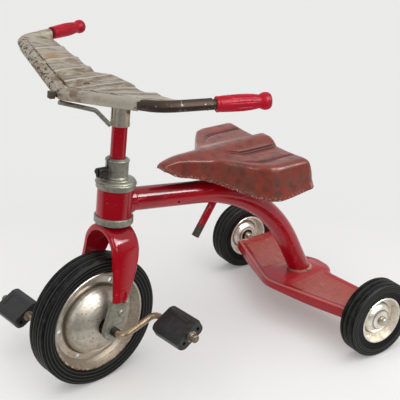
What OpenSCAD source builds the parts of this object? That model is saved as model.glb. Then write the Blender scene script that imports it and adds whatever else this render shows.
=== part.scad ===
// Child's pedal tricycle of pressed and tubular steel with solid rubber tyres.
// Origin: middle of the bounding box, on the floor. +X forward, +Y rider's left, +Z up.

/* [Stance] */
// Distance from the front axle to the rear axle
wheelbase = 507; // [440:1:580]
// Backward lean of the steering axis, degrees
head_tilt = 6.4; // [4:0.1:14]
// Distance of the front axle ahead of the steering axis
fork_rake = 31; // [15:1:40]
// Angle the front wheel is turned to the left, degrees
wheel_turn = 9.7; // [-30:0.1:30]
// Angle the handlebar is turned to the left, degrees
bar_turn = 2.5; // [-30:0.1:30]
// Angle the bar has sunk to the left about its middle bolt, degrees
bar_sag = 0.4; // [0:0.1:2]
// Angle the seat is turned to the left on its post, degrees
seat_turn = 2; // [-20:0.1:20]
// Angle of the left crank arm, from forward towards up, degrees
crank_angle = 149; // [0:1:359]
// Angle of the flat of both pedals, from forward towards up, degrees
pedal_angle = 146; // [0:1:359]

/* [Front wheel] */
// Outside diameter of the front tyre
front_d = 254; // [230:1:280]
// Width of the front tyre
front_tyre_w = 46; // [36:1:54]
// Height of the front tyre above its rim lips
front_tyre_h = 28; // [22:1:36]
// Width of the flat ring round the front dome
flange_w = 15; // [12:1:20]
// Height of the front dome above its flange
dome_h = 39; // [25:1:44]
// Diameter of the hub hole in the front dome
hub_hole_d = 35; // [28:1:44]
// Number of holes in the front flange ring
flange_holes = 6; // [4:1:8]

/* [Rear wheels] */
// Outside diameter of a rear tyre
rear_d = 156; // [136:1:176]
// Width of a rear tyre
rear_tyre_w = 39; // [30:1:46]
// Height of a rear tyre above its rim lips
rear_tyre_h = 29.5; // [24:0.5:34]
// Width of the flat ring round a rear dome
rear_flange_w = 9; // [6:0.5:12]
// Height of the rear dome above its flange
rear_dome_h = 16; // [10:1:17]
// Distance between the middles of the rear wheels
rear_track = 452; // [400:1:500]

/* [Crank and pedals] */
// Diameter of the crank rod
crank_d = 12; // [10:0.5:14]
// Throw of each crank arm
crank_throw = 71; // [60:1:84]
// Distance of the arm's outer bend from the wheel's middle
crank_reach = 102; // [98:1:120]
// Length of a pedal block
pedal_len = 72; // [60:1:90]
// Width of a pedal block
pedal_w = 61; // [50:1:76]
// Thickness of a pedal block at its ridge
pedal_t = 26; // [22:1:32]

/* [Fork and head] */
// Wall of the steerer tube round the stem
steerer_wall = 3.85; // [2:0.05:5]
// Width of the fork crown, front to back
crown_w = 58; // [48:1:62]
// Width of a fork leg at its foot
foot_w = 28; // [22:1:34]
// Half width of the fork's arch, outside
arch_r = 50; // [46:1:56]
// Sideways splay of the legs, degrees
leg_splay = 11; // [8:1:13]
// Clearance of the arch above the front tyre
arch_gap = 54; // [46:1:70]
// Diameter of the head tube
head_d = 66; // [60:1:72]
// Length of the head tube between its cups
head_len = 53; // [46:1:80]
// Wall of the head cups round the head tube
cup_wall = 3; // [2:0.5:5]

/* [Handlebar] */
// Diameter of the stem tube
stem_d = 28.3; // [25:0.1:29]
// Length of bare stem between the collar and the socket
stem_show = 59; // [45:1:80]
// Diameter of the handlebar tube
bar_d = 16; // [14:0.5:18]
// Half the distance between the two bends of the bar
bar_half = 244; // [210:1:270]
// Rise of the bends above the middle of the bar
bar_rise = 39; // [25:1:50]
// Distance of the middle of the bar ahead of the steering axis
bar_front = 118; // [100:1:135]
// Diameter of the hand grips
grip_d = 26; // [23:1:30]
// Length of a hand grip
grip_len = 86; // [80:1:110]

/* [Frame and seat] */
// Diameter of the frame tube
tube_d = 44; // [38:1:48]
// Wall of the frame tube
tube_wall = 1.6; // [1.2:0.1:2.5]
// Downward slope of the tube behind the head, degrees
tube_slope = 7.4; // [4:0.1:14]
// Slope of the tube where it meets the step, degrees
tube_drop = 64; // [58:1:70]
// Radius of the bend in the frame tube
tube_bend_r = 292; // [240:1:310]
// Diameter of the seat post
post_d = 15; // [13:0.5:18]
// Forward lean of the post's lower end, degrees
post_lean = 33; // [25:1:38]
// Length of the seat
seat_len = 263; // [240:1:290]
// Width of the seat over its wings
seat_w = 268; // [240:1:300]
// Height of the seat's crest above the post's crossing of the tube
seat_rise = 98; // [92:1:112]

/* [Step] */
// Gap between the step and each rear tyre
step_gap = 18.5; // [12:0.5:30]
// Height of the step's top above the rear axle
step_h = 9; // [8.8:0.1:14]
// Depth of the step's front flange
step_flange = 20; // [14:1:24]
// Diameter of the rear axle
axle_d = 12; // [10:0.5:14]

/* [Hidden] */
$fn = 72;
run = 0.05;     // radial clearance of a running fit
seat_gap = 0.3; // gap between pieces that seat on each other
sheet = 1.5;    // thickness of pressed sheet
snug = 0.15;    // clearance between pieces that are fixed together

// Sizes that follow from the ones above
front_rim_d = front_d - 2 * front_tyre_h;
rear_rim_d = rear_d - 2 * rear_tyre_h;
flange_r = front_rim_d / 2 - 15;
rear_flange_r = rear_rim_d / 2 - 7.5;
dome_d = 2 * (flange_r - flange_w);
rear_dome_d = 2 * (rear_flange_r - rear_flange_w);
steerer_d = stem_d + 2 * steerer_wall;
cup_d = head_d + 2 * cup_wall;
step_w = rear_track - rear_tyre_w - 2 * step_gap;

// Stance: the turned wheel leans a little, so its axle height allows for the tread's edge
front_r = front_d / 2;
rear_r = rear_d / 2;
tread_edge = front_tyre_w / 2 - 3.5;
camber = asin(sin(wheel_turn) * sin(head_tilt));
front_axle_z = front_r * cos(camber) + tread_edge * abs(sin(camber));
front_axle_x = (wheelbase + rear_r - front_r) / 2;
rear_axle_x = front_axle_x - wheelbase;
rear_axle_z = rear_r;
rear_y = rear_track / 2;

// Heights along the steering axis, from the foot of the front axle's perpendicular
crown_top = front_r + arch_gap + 5;
lower_cup_z = crown_top + seat_gap;
lower_cup_h = 15;
head_z0 = lower_cup_z + lower_cup_h;
head_z1 = head_z0 + head_len;
upper_cup_h = 19.5;
collar_z = head_z1 + upper_cup_h + seat_gap;
collar_h = 35.5;
collar_top = collar_z + collar_h;
socket_z = collar_top + stem_show;
socket_h = 79.5;
bar_z = socket_z + 62;
head_sink = 10; // length of head tube held inside each cup

// Reds and metals, as the photograph shows them
enamel = [0.66, 0.05, 0.08];
worn_red = [0.55, 0.23, 0.2];
zinc = [0.55, 0.55, 0.52];
nickel = [0.62, 0.59, 0.54];
bare_steel = [0.66, 0.64, 0.6];
rusty = [0.33, 0.25, 0.2];
rubber = [0.07, 0.07, 0.075];
grip_red = [0.75, 0.06, 0.12];
bronze = [0.55, 0.45, 0.32];

// Small vector and outline functions
function unit(v) = v / norm(v);
function mix(a, b, t) = a + (b - a) * t;
function flip(p) = [for (i = [len(p) - 1:-1:0]) p[i]];
function arc(c, r, a0, a1, n) =
    [for (i = [0:n]) let (a = mix(a0, a1, i / n)) c + r * [cos(a), sin(a)]];

// Turns a line of points into a wall of thickness t on its left side
function side(p, i) =
    let (v = unit(p[min(i + 1, len(p) - 1)] - p[max(i - 1, 0)])) [-v.y, v.x];
function wall(p, t) = concat(p, flip([for (i = [0:len(p) - 1]) p[i] + t * side(p, i)]));

// Rounds the corners of an outline
function corner(p, q, s, r, n) =
    let (
        u = unit(p - q),
        v = unit(s - q),
        half = acos(u * v) / 2,
        c = q + unit(u + v) * r / sin(half),
        a = unit(q + u * r / tan(half) - c),
        b = unit(q + v * r / tan(half) - c)
    )
    [for (i = [0:n]) c + r * unit(mix(a, b, i / n))];
function rounded(p, r, n) =
    [for (i = [0:len(p) - 1])
        each corner(p[(i + len(p) - 1) % len(p)], p[i], p[(i + 1) % len(p)], r, n)];

// Places children with X, Y and Z along the given unit vectors
module basis(o, ex, ey, ez)
    multmatrix([
        [ex.x, ey.x, ez.x, o.x],
        [ex.y, ey.y, ez.y, o.y],
        [ex.z, ey.z, ez.z, o.z]
    ]) children();

// Straight round bar from a to b
module bar(a, b, r) {
    ez = unit(b - a);
    side_way = abs(ez.z) < 0.9 ? [0, 0, 1] : [1, 0, 0];
    ex = unit(cross(side_way, ez));
    basis(a, ex, cross(ez, ex), ez) cylinder(r = r, h = norm(b - a));
}

// Distance a bend of radius R takes from each leg at corner q
function bend_cut(p, q, s, R) = R * tan(acos(unit(q - p) * unit(s - q)) / 2);

// Round bar bent at q, between the legs p to q and q to s
module elbow(p, q, s, R, r) {
    u = unit(q - p);
    v = unit(s - q);
    w = unit(v - (u * v) * u);
    start = q - u * bend_cut(p, q, s, R);
    basis(start + R * w, -w, u, cross(u, w))
        rotate_extrude(angle = acos(u * v)) translate([R, 0]) circle(r = r);
}

// Round bar through a list of points, with one bend radius and a faint ring at each end of
// a bend, where straight and bend meet
ring_rise = 0.04;
ring_half = 0.4;
module bent_bar(p, R, r) {
    n = len(p) - 1;
    cut = [for (i = [0:n]) i == 0 || i == n ? 0 : bend_cut(p[i - 1], p[i], p[i + 1], R)];
    for (i = [0:n - 1]) {
        u = unit(p[i + 1] - p[i]);
        a = p[i] + u * cut[i];
        b = p[i + 1] - u * cut[i + 1];
        bar(a + u * (i > 0 ? ring_half / 2 : 0), b - u * (i < n - 1 ? ring_half / 2 : 0), r);
        if (i > 0) bar(a - u * ring_half, a + u * ring_half, r + ring_rise);
        if (i < n - 1) bar(b - u * ring_half, b + u * ring_half, r + ring_rise);
    }
    for (i = [1:n - 1]) elbow(p[i - 1], p[i], p[i + 1], R, r);
}

// Two triangles of the four-sided cell a, b, c, d, split from a to c or from b to d
function halves(a, b, c, d, other) = other ? [[a, b, d], [b, c, d]] : [[a, b, c], [a, c, d]];

// Closed sheet between two grids of points with the same rows and columns. The corner cells
// are split across the corner, so that none of their triangles lies flat along the rim
module skin(outer, inner) {
    n = len(outer);
    m = len(outer[0]);
    base = n * m;
    function at(i, j) = i * m + j;
    function across(i, j) = (i == n - 2 && j == 0) || (i == 0 && j == m - 2);
    polyhedron(
        points = concat([for (row = outer) each row], [for (row = inner) each row]),
        faces = concat(
            [for (i = [0:n - 2], j = [0:m - 2])
                each halves(at(i, j), at(i + 1, j), at(i + 1, j + 1), at(i, j + 1),
                    across(i, j))],
            [for (i = [0:n - 2], j = [0:m - 2], t = halves(at(i, j), at(i + 1, j),
                at(i + 1, j + 1), at(i, j + 1), across(i, j)))
                [base + t[0], base + t[2], base + t[1]]],
            [for (i = [0:n - 2])
                each [[at(i, 0), base + at(i, 0), base + at(i + 1, 0), at(i + 1, 0)],
                      [at(i, m - 1), at(i + 1, m - 1), base + at(i + 1, m - 1),
                       base + at(i, m - 1)]]],
            [for (j = [0:m - 2])
                each [[at(0, j), at(0, j + 1), base + at(0, j + 1), base + at(0, j)],
                      [at(n - 1, j), base + at(n - 1, j), base + at(n - 1, j + 1),
                       at(n - 1, j + 1)]]]
        )
    );
}

// Frames of the moving groups
module steering(turn)
    translate([front_axle_x, 0, front_axle_z]) rotate([0, -head_tilt, 0])
        translate([-fork_rake, 0, 0]) rotate([0, 0, turn]) children();
module fork_frame() steering(wheel_turn) children();
module wheel_frame() fork_frame() translate([fork_rake, 0, 0]) children();
module crank_frame() wheel_frame() rotate([0, -crank_angle, 0]) children();
module on_axle() rotate([-90, 0, 0]) children();
module pedal_frame(s)
    wheel_frame() rotate([0, -crank_angle, 0]) translate([s * crank_throw, 0, 0])
        rotate([0, crank_angle - pedal_angle, 0]) children();
module rear_frame(s) translate([rear_axle_x, s * rear_y, rear_axle_z]) children();

// Frame tube: two straight runs joined by one bend, in the middle plane
head_foot = [front_axle_x - fork_rake * cos(head_tilt),
             front_axle_z - fork_rake * sin(head_tilt)];
tube_z = head_z1 - tube_d / 2 - 4.8;
tube_start = head_foot + tube_z * [-sin(head_tilt), cos(head_tilt)];
step_top = rear_axle_z + step_h;
boss_h = 5;
tube_foot = [rear_axle_x + 12.7, step_top + boss_h];
slope_dir = [-cos(tube_slope), -sin(tube_slope)];
drop_dir = [-cos(tube_drop), -sin(tube_drop)];
// Where the two runs would meet
run_len = cross(tube_foot - tube_start, drop_dir) / cross(slope_dir, drop_dir);
tube_knee = tube_start + run_len * slope_dir;
tube_end = tube_foot + drop_dir * 36;
knee_cut = tube_bend_r * tan((tube_drop - tube_slope) / 2);
bend_start = tube_knee - knee_cut * slope_dir;

bend_centre = bend_start + tube_bend_r * [sin(tube_slope), -cos(tube_slope)];

// Seat post: it crosses the tube a little way into the bend
post_turn = tube_slope + 9.5;
post_cross = bend_centre + tube_bend_r * [-sin(post_turn), cos(post_turn)];
post_low = 76;
post_high = 82;

function mid(p) = [p.x, 0, p.y];
module tube_path(r)
    bent_bar([mid(tube_start), mid(tube_knee), mid(tube_end)], tube_bend_r, r);

module frame_tube() color(enamel)
    difference() {
        tube_path(tube_d / 2);
        tube_path(tube_d / 2 - tube_wall);
        // coped to the head tube
        steering(0) cylinder(r = head_d / 2, h = crown_top * 2);
        // cut level at the foot
        translate([tube_end.x, 0, rear_axle_z - axle_d / 2 - 6 - tube_d])
            cube([tube_d * 3, tube_d * 2, tube_d * 2], center = true);
        // holes for the rear axle and for the seat post's sleeve
        translate([rear_axle_x, 0, rear_axle_z]) on_axle()
            cylinder(r = axle_d / 2 + snug, h = tube_d * 2, center = true);
        post_frame() translate([0, 0, -tube_d]) cylinder(r = sleeve_r + snug, h = tube_d * 2);
        // small hole in each side, ahead of the seat
        translate(mid(tube_start + 124 * slope_dir) - [0, 0, 8]) on_axle()
            cylinder(r = side_hole_r, h = tube_d * 2, center = true);
    }
side_hole_r = 2.5;

module head_tube() color(enamel)
    steering(0) difference() {
        translate([0, 0, head_z0 - head_sink])
            cylinder(r = head_d / 2 - snug, h = head_len + 2 * head_sink);
        translate([0, 0, head_z0 - head_sink - 1])
            cylinder(r = head_d / 2 - 2, h = head_len + 2 * head_sink + 2);
    }

// Weld bead where the frame tube meets the head tube
module head_weld() color(enamel)
    difference() {
        basis(mid(tube_start), [0, 1, 0], [slope_dir.y, 0, -slope_dir.x],
            [slope_dir.x, 0, slope_dir.y])
            rotate_extrude() polygon([[tube_d / 2 + 0.02, 0], [tube_d / 2 + 3.5, 0],
                [tube_d / 2 + 3.5, head_d / 2 - 1], [tube_d / 2 + 0.02, head_d / 2 + 3]]);
        steering(0) cylinder(r = head_d / 2 + 0.02, h = crown_top * 2);
        steering(0) translate([0, 0, head_z1 - snug]) cylinder(r = cup_d, h = 60);
    }

// Cups: turned rings that hold the head tube and the bushes
bush_r = steerer_d / 2 + 5;
module lower_cup() color(zinc)
    steering(0) rotate_extrude() polygon(concat(
        [[bush_r + snug, lower_cup_z + 1], [cup_d / 2 - 3, lower_cup_z + 1]],
        arc([cup_d / 2 - 3, lower_cup_z + 4], 3, -90, 0, 4),
        [[cup_d / 2, head_z0 - 3]],
        arc([cup_d / 2 - 1.5, head_z0 - 1.5], 1.5, 0, 90, 3),
        [[head_d / 2, head_z0], [head_d / 2, head_z0 - head_sink - snug],
         [bush_r + snug, head_z0 - head_sink - snug]]));

module upper_cup() color(zinc)
    steering(0) rotate_extrude() polygon(concat(
        [[head_d / 2, head_z1]],
        arc([cup_d / 2 - 1.2, head_z1 + 1.2], 1.2, -90, 0, 3),
        [[cup_d / 2, head_z1 + 8]],
        arc([cup_d / 2, head_z1 + 10], 1.6, -80, 80, 5),
        [[cup_d / 2, head_z1 + 12]],
        arc([cup_d / 2 - 4, head_z1 + 12.5], 4, 0, 75, 4),
        [[cup_d / 2 - 8, head_z1 + 17], [cup_d / 2 - 9, head_z1 + 18.4],
         [steerer_d / 2 + 4, head_z1 + upper_cup_h], [steerer_d / 2 + 1, head_z1 + upper_cup_h],
         [steerer_d / 2 + 1, head_z1 + 16], [bush_r + snug, head_z1 + 16],
         [bush_r + snug, head_z1 + head_sink + snug], [head_d / 2, head_z1 + head_sink + snug]]));

module bush(z, h) steering(0) translate([0, 0, z]) difference() {
    cylinder(r = bush_r, h = h);
    translate([0, 0, -1]) cylinder(r = steerer_d / 2 + run, h = h + 2);
}
module upper_bush() color(bronze) bush(head_z1 + head_sink - 4, 9.7);
module lower_bush() color(bronze) bush(lower_cup_z + 0.5, 9.5);

// Step: a pressed plate with a forward nose, a rear lobe and turned-down flanges
step_nose = 102;     // top edge ahead of the axle, at the middle
step_sweep = 0.33;   // how fast the front edge runs back
step_tail = 30;      // rear edge behind the axle, beside the lobe
step_lobe = 25;      // how far the lobe reaches behind that edge
lobe_half = 46;
panel_drop = 1.2;
bead_h = 1.6;        // rise of the bead along the front and rear edges
panel_out = 0.82;    // outer end of the recessed panel, as a share of the half width
function step_front(y) = step_nose - step_sweep * sqrt(y * y + 14 * 14) + 4;
function step_rear(y) =
    -step_tail - 0.12 * abs(y)
    - step_lobe * (abs(y) < lobe_half ? pow(cos(abs(y) / lobe_half * 90), 0.7) : 0);
function smooth(a, b, x) = let (t = max(0, min(1, (x - a) / (b - a)))) t * t * (3 - 2 * t);

// Height of the pressing at distance y from the middle, c from front (0) to rear (1)
function step_relief(y, c) =
    let (
        edge = min(c, 1 - c),
        centre = 1 - smooth(31, 45, abs(y) + 26 * c - 10),
        out = abs(y) / (step_w / 2)
    )
    boss_h * centre * smooth(0.02, 0.22, edge)
    - panel_drop * smooth(0.08, 0.14, edge) * (1 - centre)
        * (1 - smooth(panel_out - 0.02, panel_out + 0.02, out))
    + bead_h * (1 - centre) * (1 - smooth(0.05, 0.13, edge)) * (1 - smooth(0.9, 0.97, out));

// Stations across the step and places along its chord; flanges are the outer entries
step_cols = concat([-4, -3, -2, -1],
    [0.03, 0.08, 0.14, 0.22, 0.32, 0.42, 0.52, 0.62, 0.72, 0.80, 0.86, 0.92, 0.97],
    [2, 3, 4]);
step_r = 4;
function step_point(y, c, t, f) =
    let (
        xf = rear_axle_x + step_front(y) - t,
        xr = rear_axle_x + step_rear(y) + t,
        top = step_top - t,
        low = step_top - mix(step_flange * 0.7, step_flange, smooth(0, 120, abs(y))),
        rear_low = step_top - 12,
        r = step_r - t,
        // along the chord: front flange, rounded corner, top, rounded corner, rear flange
        px = c == -4 ? xf : c == -3 ? xf - 0.5 : c == -2 ? xf - r * 0.4 : c == -1 ? xf - r - 0.5
            : c == 2 ? xr + r + 0.5 : c == 3 ? xr + r * 0.4 : c == 4 ? xr
            : mix(xf - r - 0.5, xr + r + 0.5, c),
        drop = c == -4 ? 99 : c == -3 ? r : c == -2 ? r * 0.29 : c == 3 ? r * 0.4 : c == 4 ? 99 : 0,
        z0 = c >= 0 && c <= 1 ? top + step_relief(y, c) : top - drop,
        floor_z = mix(low, rear_low, smooth(0, 0.7, c)),
        z = max(z0, floor_z)
    )
    [px, y, mix(floor_z, z, f)];
step_ys = [0.0, 0.07, 0.12, 0.16, 0.2, 0.24, 0.29, 0.36, 0.5, 0.64, 0.75, 0.80, 0.84, 0.90, 0.95];
function step_rows(t) =
    let (
        half = concat([for (s = step_ys) [s * step_w / 2, 1]],
            [for (k = [[step_r, 1], [step_r * 0.4, 0.93], [0.5, 0.75], [0, 0]])
                [step_w / 2 - t - max(0, k[0] - t * k[0] / step_r), k[1]]])
    )
    concat([for (i = [len(half) - 1:-1:1]) [-half[i][0], half[i][1]]], half);
function step_grid(t) =
    [for (s = step_rows(t)) [for (c = step_cols) step_point(s[0], c, t, s[1])]];
foot_dir = [drop_dir.x, 0, drop_dir.y];
foot_side = [-drop_dir.y, 0, drop_dir.x];
module foot_frame()
    basis(mid(tube_foot), foot_side, cross(foot_dir, foot_side), foot_dir) children();
module step_plate() color(worn_red)
    difference() {
        skin(step_grid(0), step_grid(sheet));
        foot_frame() cylinder(r = tube_d / 2 + snug, h = 60, center = true, $fn = 48);
        translate([rear_axle_x, 0, rear_axle_z]) on_axle()
            cylinder(r = axle_d / 2 + snug, h = step_w + 20, center = true, $fn = 32);
    }

// Weld bead round the tube, on the step's raised middle
module step_weld() color(nickel)
    difference() {
        foot_frame() translate([0, 0, -14]) rotate_extrude()
            polygon([[tube_d / 2 + 0.02, 0], [tube_d / 2 + 1.6, 0], [tube_d / 2 + 4.5, 14],
                     [tube_d / 2 + 4.5, 40], [tube_d / 2 + 0.02, 40]]);
        translate([tube_foot.x, 0, step_top + boss_h - 60 + 0.05])
            cube([200, 200, 120], center = true);
        translate([tube_foot.x, 0, step_top + boss_h + 4 + 60])
            cube([200, 200, 120], center = true);
    }

// Rear axle with its washers and push-on caps
axle_half = rear_y + rear_tyre_w / 2 + 1;
hub_half = rear_tyre_w / 2 - 1;
module rear_axle() color(bare_steel)
    translate([rear_axle_x, 0, rear_axle_z]) on_axle()
        cylinder(r = axle_d / 2, h = 2 * axle_half, center = true);

module axle_washers() color(bare_steel)
    for (s = [-1, 1], y = [rear_y - hub_half - seat_gap - 1.5, rear_y + hub_half + seat_gap])
        translate([rear_axle_x, s * y, rear_axle_z]) rotate([-90 * s, 0, 0]) difference() {
            cylinder(r = axle_d / 2 + 4, h = 1.5);
            translate([0, 0, -1]) cylinder(r = axle_d / 2 + snug, h = 4);
        }

module axle_caps() color(bare_steel)
    for (s = [-1, 1])
        translate([rear_axle_x, s * (rear_y + hub_half + seat_gap + 1.5 + snug), rear_axle_z])
            rotate([-90 * s, 0, 0]) rotate_extrude() polygon(concat(
                [[axle_d / 2 + snug, 0], [axle_d / 2 + 2.6, 0], [axle_d / 2 + 2.6, 1]],
                [[axle_d / 2 + 1.4, 1.6], [axle_d / 2 + 1.4, 4]],
                arc([axle_d / 2 - 1.6, 4], 3, 0, 80, 4),
                [[0, 7], [0, 5.5], [axle_d / 2 + snug, 5.5]]));

// Seat post, its sleeve through the frame tube and the set bolt above the tube
sleeve_r = post_d / 2 + 2.5;
module post_frame() translate(mid(post_cross)) rotate([0, -post_lean, 0]) children();
module seat_frame() post_frame() rotate([0, 0, seat_turn]) rotate([0, post_lean, 0])
    translate(-mid(post_cross)) children();
module post_sleeve() color(enamel)
    post_frame() difference() {
        translate([0, 0, 3 - tube_d / 2]) cylinder(r = sleeve_r, h = tube_d / 2 + 35);
        translate([0, 0, -tube_d]) cylinder(r = post_d / 2 + run, h = 3 * tube_d);
        translate([0, 0, 33]) rotate([0, -90, 0]) cylinder(r = 3.15, h = 30);
    }
module post_set_bolt() color(rusty)
    post_frame() translate([0, 0, 33]) rotate([0, -90, 0]) {
        translate([0, 0, post_d / 2 + seat_gap]) cylinder(r = 3, h = sleeve_r - post_d / 2 + 1);
        translate([0, 0, sleeve_r + 0.8]) rotate([0, 0, 45]) cylinder(r = 6.4, h = 5, $fn = 4);
    }
module seat_post() color(rusty)
    post_frame() translate([0, 0, -post_low - tube_d / 2])
        cylinder(r = post_d / 2, h = post_low + tube_d / 2 + post_high);

// Seat: a pressed pan, narrow at the nose and winged behind, on a bracket
seat_x0 = post_cross.x + 132;
seat_x1 = seat_x0 - seat_len;
seat_top = post_cross.y + seat_rise;
seat_wing_z = seat_top - 15;
seat_sheet = 1.5;
// Half width at station u: 0 at the nose, 1 at the rear edge
function seat_half(u) =
    mix(mix(12, 40, smooth(0, 0.5, u)), seat_w / 2 * 0.97, smooth(0.36, 0.66, u))
    - 6 * pow(max(0, (u - 0.95) / 0.05), 2);
// Lower edge and top height
function seat_low(u) =
    seat_top - 24 - 16 * smooth(0, 0.12, u) - 39 * smooth(0.08, 0.66, u) + 8 * smooth(0.7, 1, u);
function seat_crown(u, y) =
    let (
        rear = smooth(0.25, 0.6, u),
        rim = seat_wing_z + 4 * smooth(60, seat_w / 2, abs(y)),
        crest = seat_top - 3 - 4 * pow(1 - min(1, u / 0.25), 2) + 2.5 * smooth(0.5, 0.85, u),
        side_drop = smooth(mix(0, 10, rear), mix(34, 33, rear), abs(y))
    )
    mix(crest, mix(crest - 10, rim, rear), side_drop);
// Paired flutes pressed along the seat
flute_at = [0.215, 0.26, 0.64, 0.685];
flute_depth = 1.6;
function flute(f, u) =
    max([for (k = flute_at) abs(f - k) < 0.005 ? 1 : 0]) * smooth(0.5, 0.62, u) * flute_depth;
seat_fr = [0, 0.07, 0.14, 0.195, 0.215, 0.2375, 0.26, 0.28, 0.36, 0.46, 0.56, 0.62, 0.64, 0.6625,
    0.685, 0.705, 0.78, 0.85];
// Profile of the rounded side: share of half width, share of height
seat_side = [[0.90, 0.995], [0.94, 0.97], [0.97, 0.92], [0.985, 0.84], [1.0, 0.5], [1.035, 0.0]];
seat_prof = concat([for (f = seat_fr) [f, 1]], seat_side);
// Stations: share of length, share of height
seat_st = concat(
    [[0.008, 0], [0, 0.25], [0.004, 0.45], [0.02, 0.68], [0.045, 0.83], [0.08, 0.93], [0.13, 0.985]],
    [for (u = [0.19:0.06:0.87]) [u, 1]],
    [[0.905, 1], [0.93, 0.985], [0.947, 0.94], [0.957, 0.85], [0.973, 0.62], [1, 0]]);
function seat_point(s, f, g, t) =
    let (
        u = s[0],
        x = mix(seat_x0 - t, seat_x1 + t, u),
        b = seat_half(u) - t,
        y = f * b,
        low = seat_low(u),
        top = seat_crown(u, y) - t - flute(abs(f), u)
    )
    [x, y, mix(low, top, s[1] * g)];
function seat_row(s, t) = concat(
    [for (i = [len(seat_prof) - 1:-1:1]) seat_point(s, -seat_prof[i][0], seat_prof[i][1], t)],
    [for (p = seat_prof) seat_point(s, p[0], p[1], t)]);
module seat_pan() color(worn_red)
    seat_frame() skin([for (s = seat_st) seat_row(s, 0)], [for (s = seat_st) seat_row(s, seat_sheet)]);

// Bracket: a bar across the pan with a socket for the post
bracket_top = seat_wing_z - seat_sheet - seat_gap - flute_depth;
bracket_x = post_cross.x - (bracket_top - 6 - post_cross.y) * tan(post_lean);
bracket_half = 74;
module seat_bracket() color(enamel)
    seat_frame() difference() {
        union() {
            translate([bracket_x - 18, -bracket_half, bracket_top - 3]) cube([36, 2 * bracket_half, 3]);
            for (s = [-1, 1]) translate([bracket_x + s * 17 - 1, -bracket_half, bracket_top - 9])
                cube([2, 2 * bracket_half, 7]);
            intersection() {
                post_frame() cylinder(r = post_d / 2 + 3.5, h = 200);
                translate([bracket_x - 60, -40, bracket_top - 34]) cube([120, 80, 32]);
            }
        }
        post_frame() translate([0, 0, -10]) cylinder(r = post_d / 2 + 0.02, h = post_high + 10.1);
        for (s = [-1, 1]) translate([bracket_x, s * 62, bracket_top - 10]) cylinder(r = 3.1, h = 20);
    }
module seat_rivets() color(rusty)
    seat_frame() for (s = [-1, 1]) translate([bracket_x, s * 62, 0]) {
        translate([0, 0, bracket_top - 5]) cylinder(r = 5, h = 1.9);
        translate([0, 0, bracket_top - 5]) cylinder(r = 3, h = 5 + flute_depth + 0.1);
    }

// Fork blades: a pressed channel swept over an arch and down two splayed legs
arch_c = crown_top - arch_r;
arch_a0 = leg_splay;
leg_foot_z = 57;
fork_sheet = 2.2;
leg_top_z = arch_c + arch_r * sin(arch_a0);
leg_run = (leg_top_z - leg_foot_z) / cos(leg_splay);
// Station q runs from the left foot (-1..0), over the arch (0..1) to the right foot (1..2)
function blade_at(q) =
    let (
        a = q < 0 ? arch_a0 : q > 1 ? 180 - arch_a0 : mix(arch_a0, 180 - arch_a0, q),
        on = arch_r * [cos(a), sin(a)] + [0, arch_c],
        past = q < 0 ? -q : q > 1 ? q - 1 : 0
    )
    on + past * leg_run * [(q < 0.5 ? 1 : -1) * sin(leg_splay), -cos(leg_splay)];
function blade_out(q) =
    let (a = q < 0 ? arch_a0 : q > 1 ? 180 - arch_a0 : mix(arch_a0, 180 - arch_a0, q))
    [cos(a), sin(a)];
function blade_w(past) = mix(foot_w, crown_w, 1 - pow(past, 1.4));
leg_set = 0.62; // share of the rake that the legs have gained at their feet
function blade_x(past) = fork_rake * leg_set * pow(past, 1.7);
// Channel section: offsets across the blade and inwards from its outer face
function channel(w, t) =
    let (h = w / 2 - t, c = 12, r = 8 - t)
    concat([[-h, c]], arc([-h + r, r + t], r, 180, 270, 4), [[0, t]],
        arc([h - r, r + t], r, 270, 360, 4), [[h, c]]);
function blade_row(q, t) =
    let (past = q < 0 ? -q : q > 1 ? q - 1 : 0, o = blade_at(q), n = blade_out(q), x = blade_x(past))
    [for (p = channel(blade_w(past), t)) [x + p.x, o.x - n.x * p.y, o.y - n.y * p.y]];
blade_q = concat([for (i = [0:7]) -1 + i / 8], [for (i = [0:20]) i / 20], [for (i = [1:8]) 1 + i / 8]);
module fork_blades() color(enamel)
    fork_frame() difference() {
        skin([for (q = blade_q) blade_row(q, fork_sheet)], [for (q = blade_q) blade_row(q, 0)]);
        translate([0, 0, arch_c]) cylinder(r = steerer_d / 2 + 0.3, h = 200, $fn = 48);
    }

// Steerer tube, flanged under the crown
steerer_drop = 12;
module steerer() color(enamel)
    fork_frame() difference() {
        union() {
            translate([0, 0, crown_top - steerer_drop])
                cylinder(r = steerer_d / 2, h = collar_top - 3 - crown_top + steerer_drop);
            translate([0, 0, crown_top - steerer_drop]) cylinder(r = steerer_d / 2 + 3, h = 3);
        }
        translate([0, 0, arch_c]) cylinder(r = stem_d / 2 + run, h = 300);
    }

// Clamp collar: split at the front, with two ears for the pinch bolt
ear_x = 34;
pinch_z = collar_z + 11;
collar_r = steerer_d / 2 + 2.9;
module clamp_collar() color(zinc)
    fork_frame() difference() {
        union() {
            rotate_extrude() polygon(concat(
                [[collar_r - 1, collar_z], [collar_r + 1.4, collar_z + 0.01], [collar_r, collar_z + 3]],
                [[collar_r, collar_top - 7]],
                arc([collar_r - 1.4, collar_top - 4.2], 2.6, -50, 80, 6),
                [[collar_r - 3, collar_top], [stem_d / 2 + 0.6, collar_top],
                 [stem_d / 2 + 0.6, collar_top - 2.6], [collar_r - 1, collar_top - 2.6]]));
            difference() {
                translate([0, -7.5, collar_z + 3]) cube([ear_x + 6, 15, 16]);
                translate([0, 0, collar_z]) cylinder(r = collar_r - 1, h = 40);
            }
        }
        translate([0, 0, collar_z - 1]) cylinder(r = steerer_d / 2 + 0.02, h = collar_h - 1.6);
        translate([0, -1.8, collar_z - 1]) cube([60, 3.6, 60]);
        translate([ear_x, 0, pinch_z]) on_axle() cylinder(r = 3.1, h = 40, center = true);
    }
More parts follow.
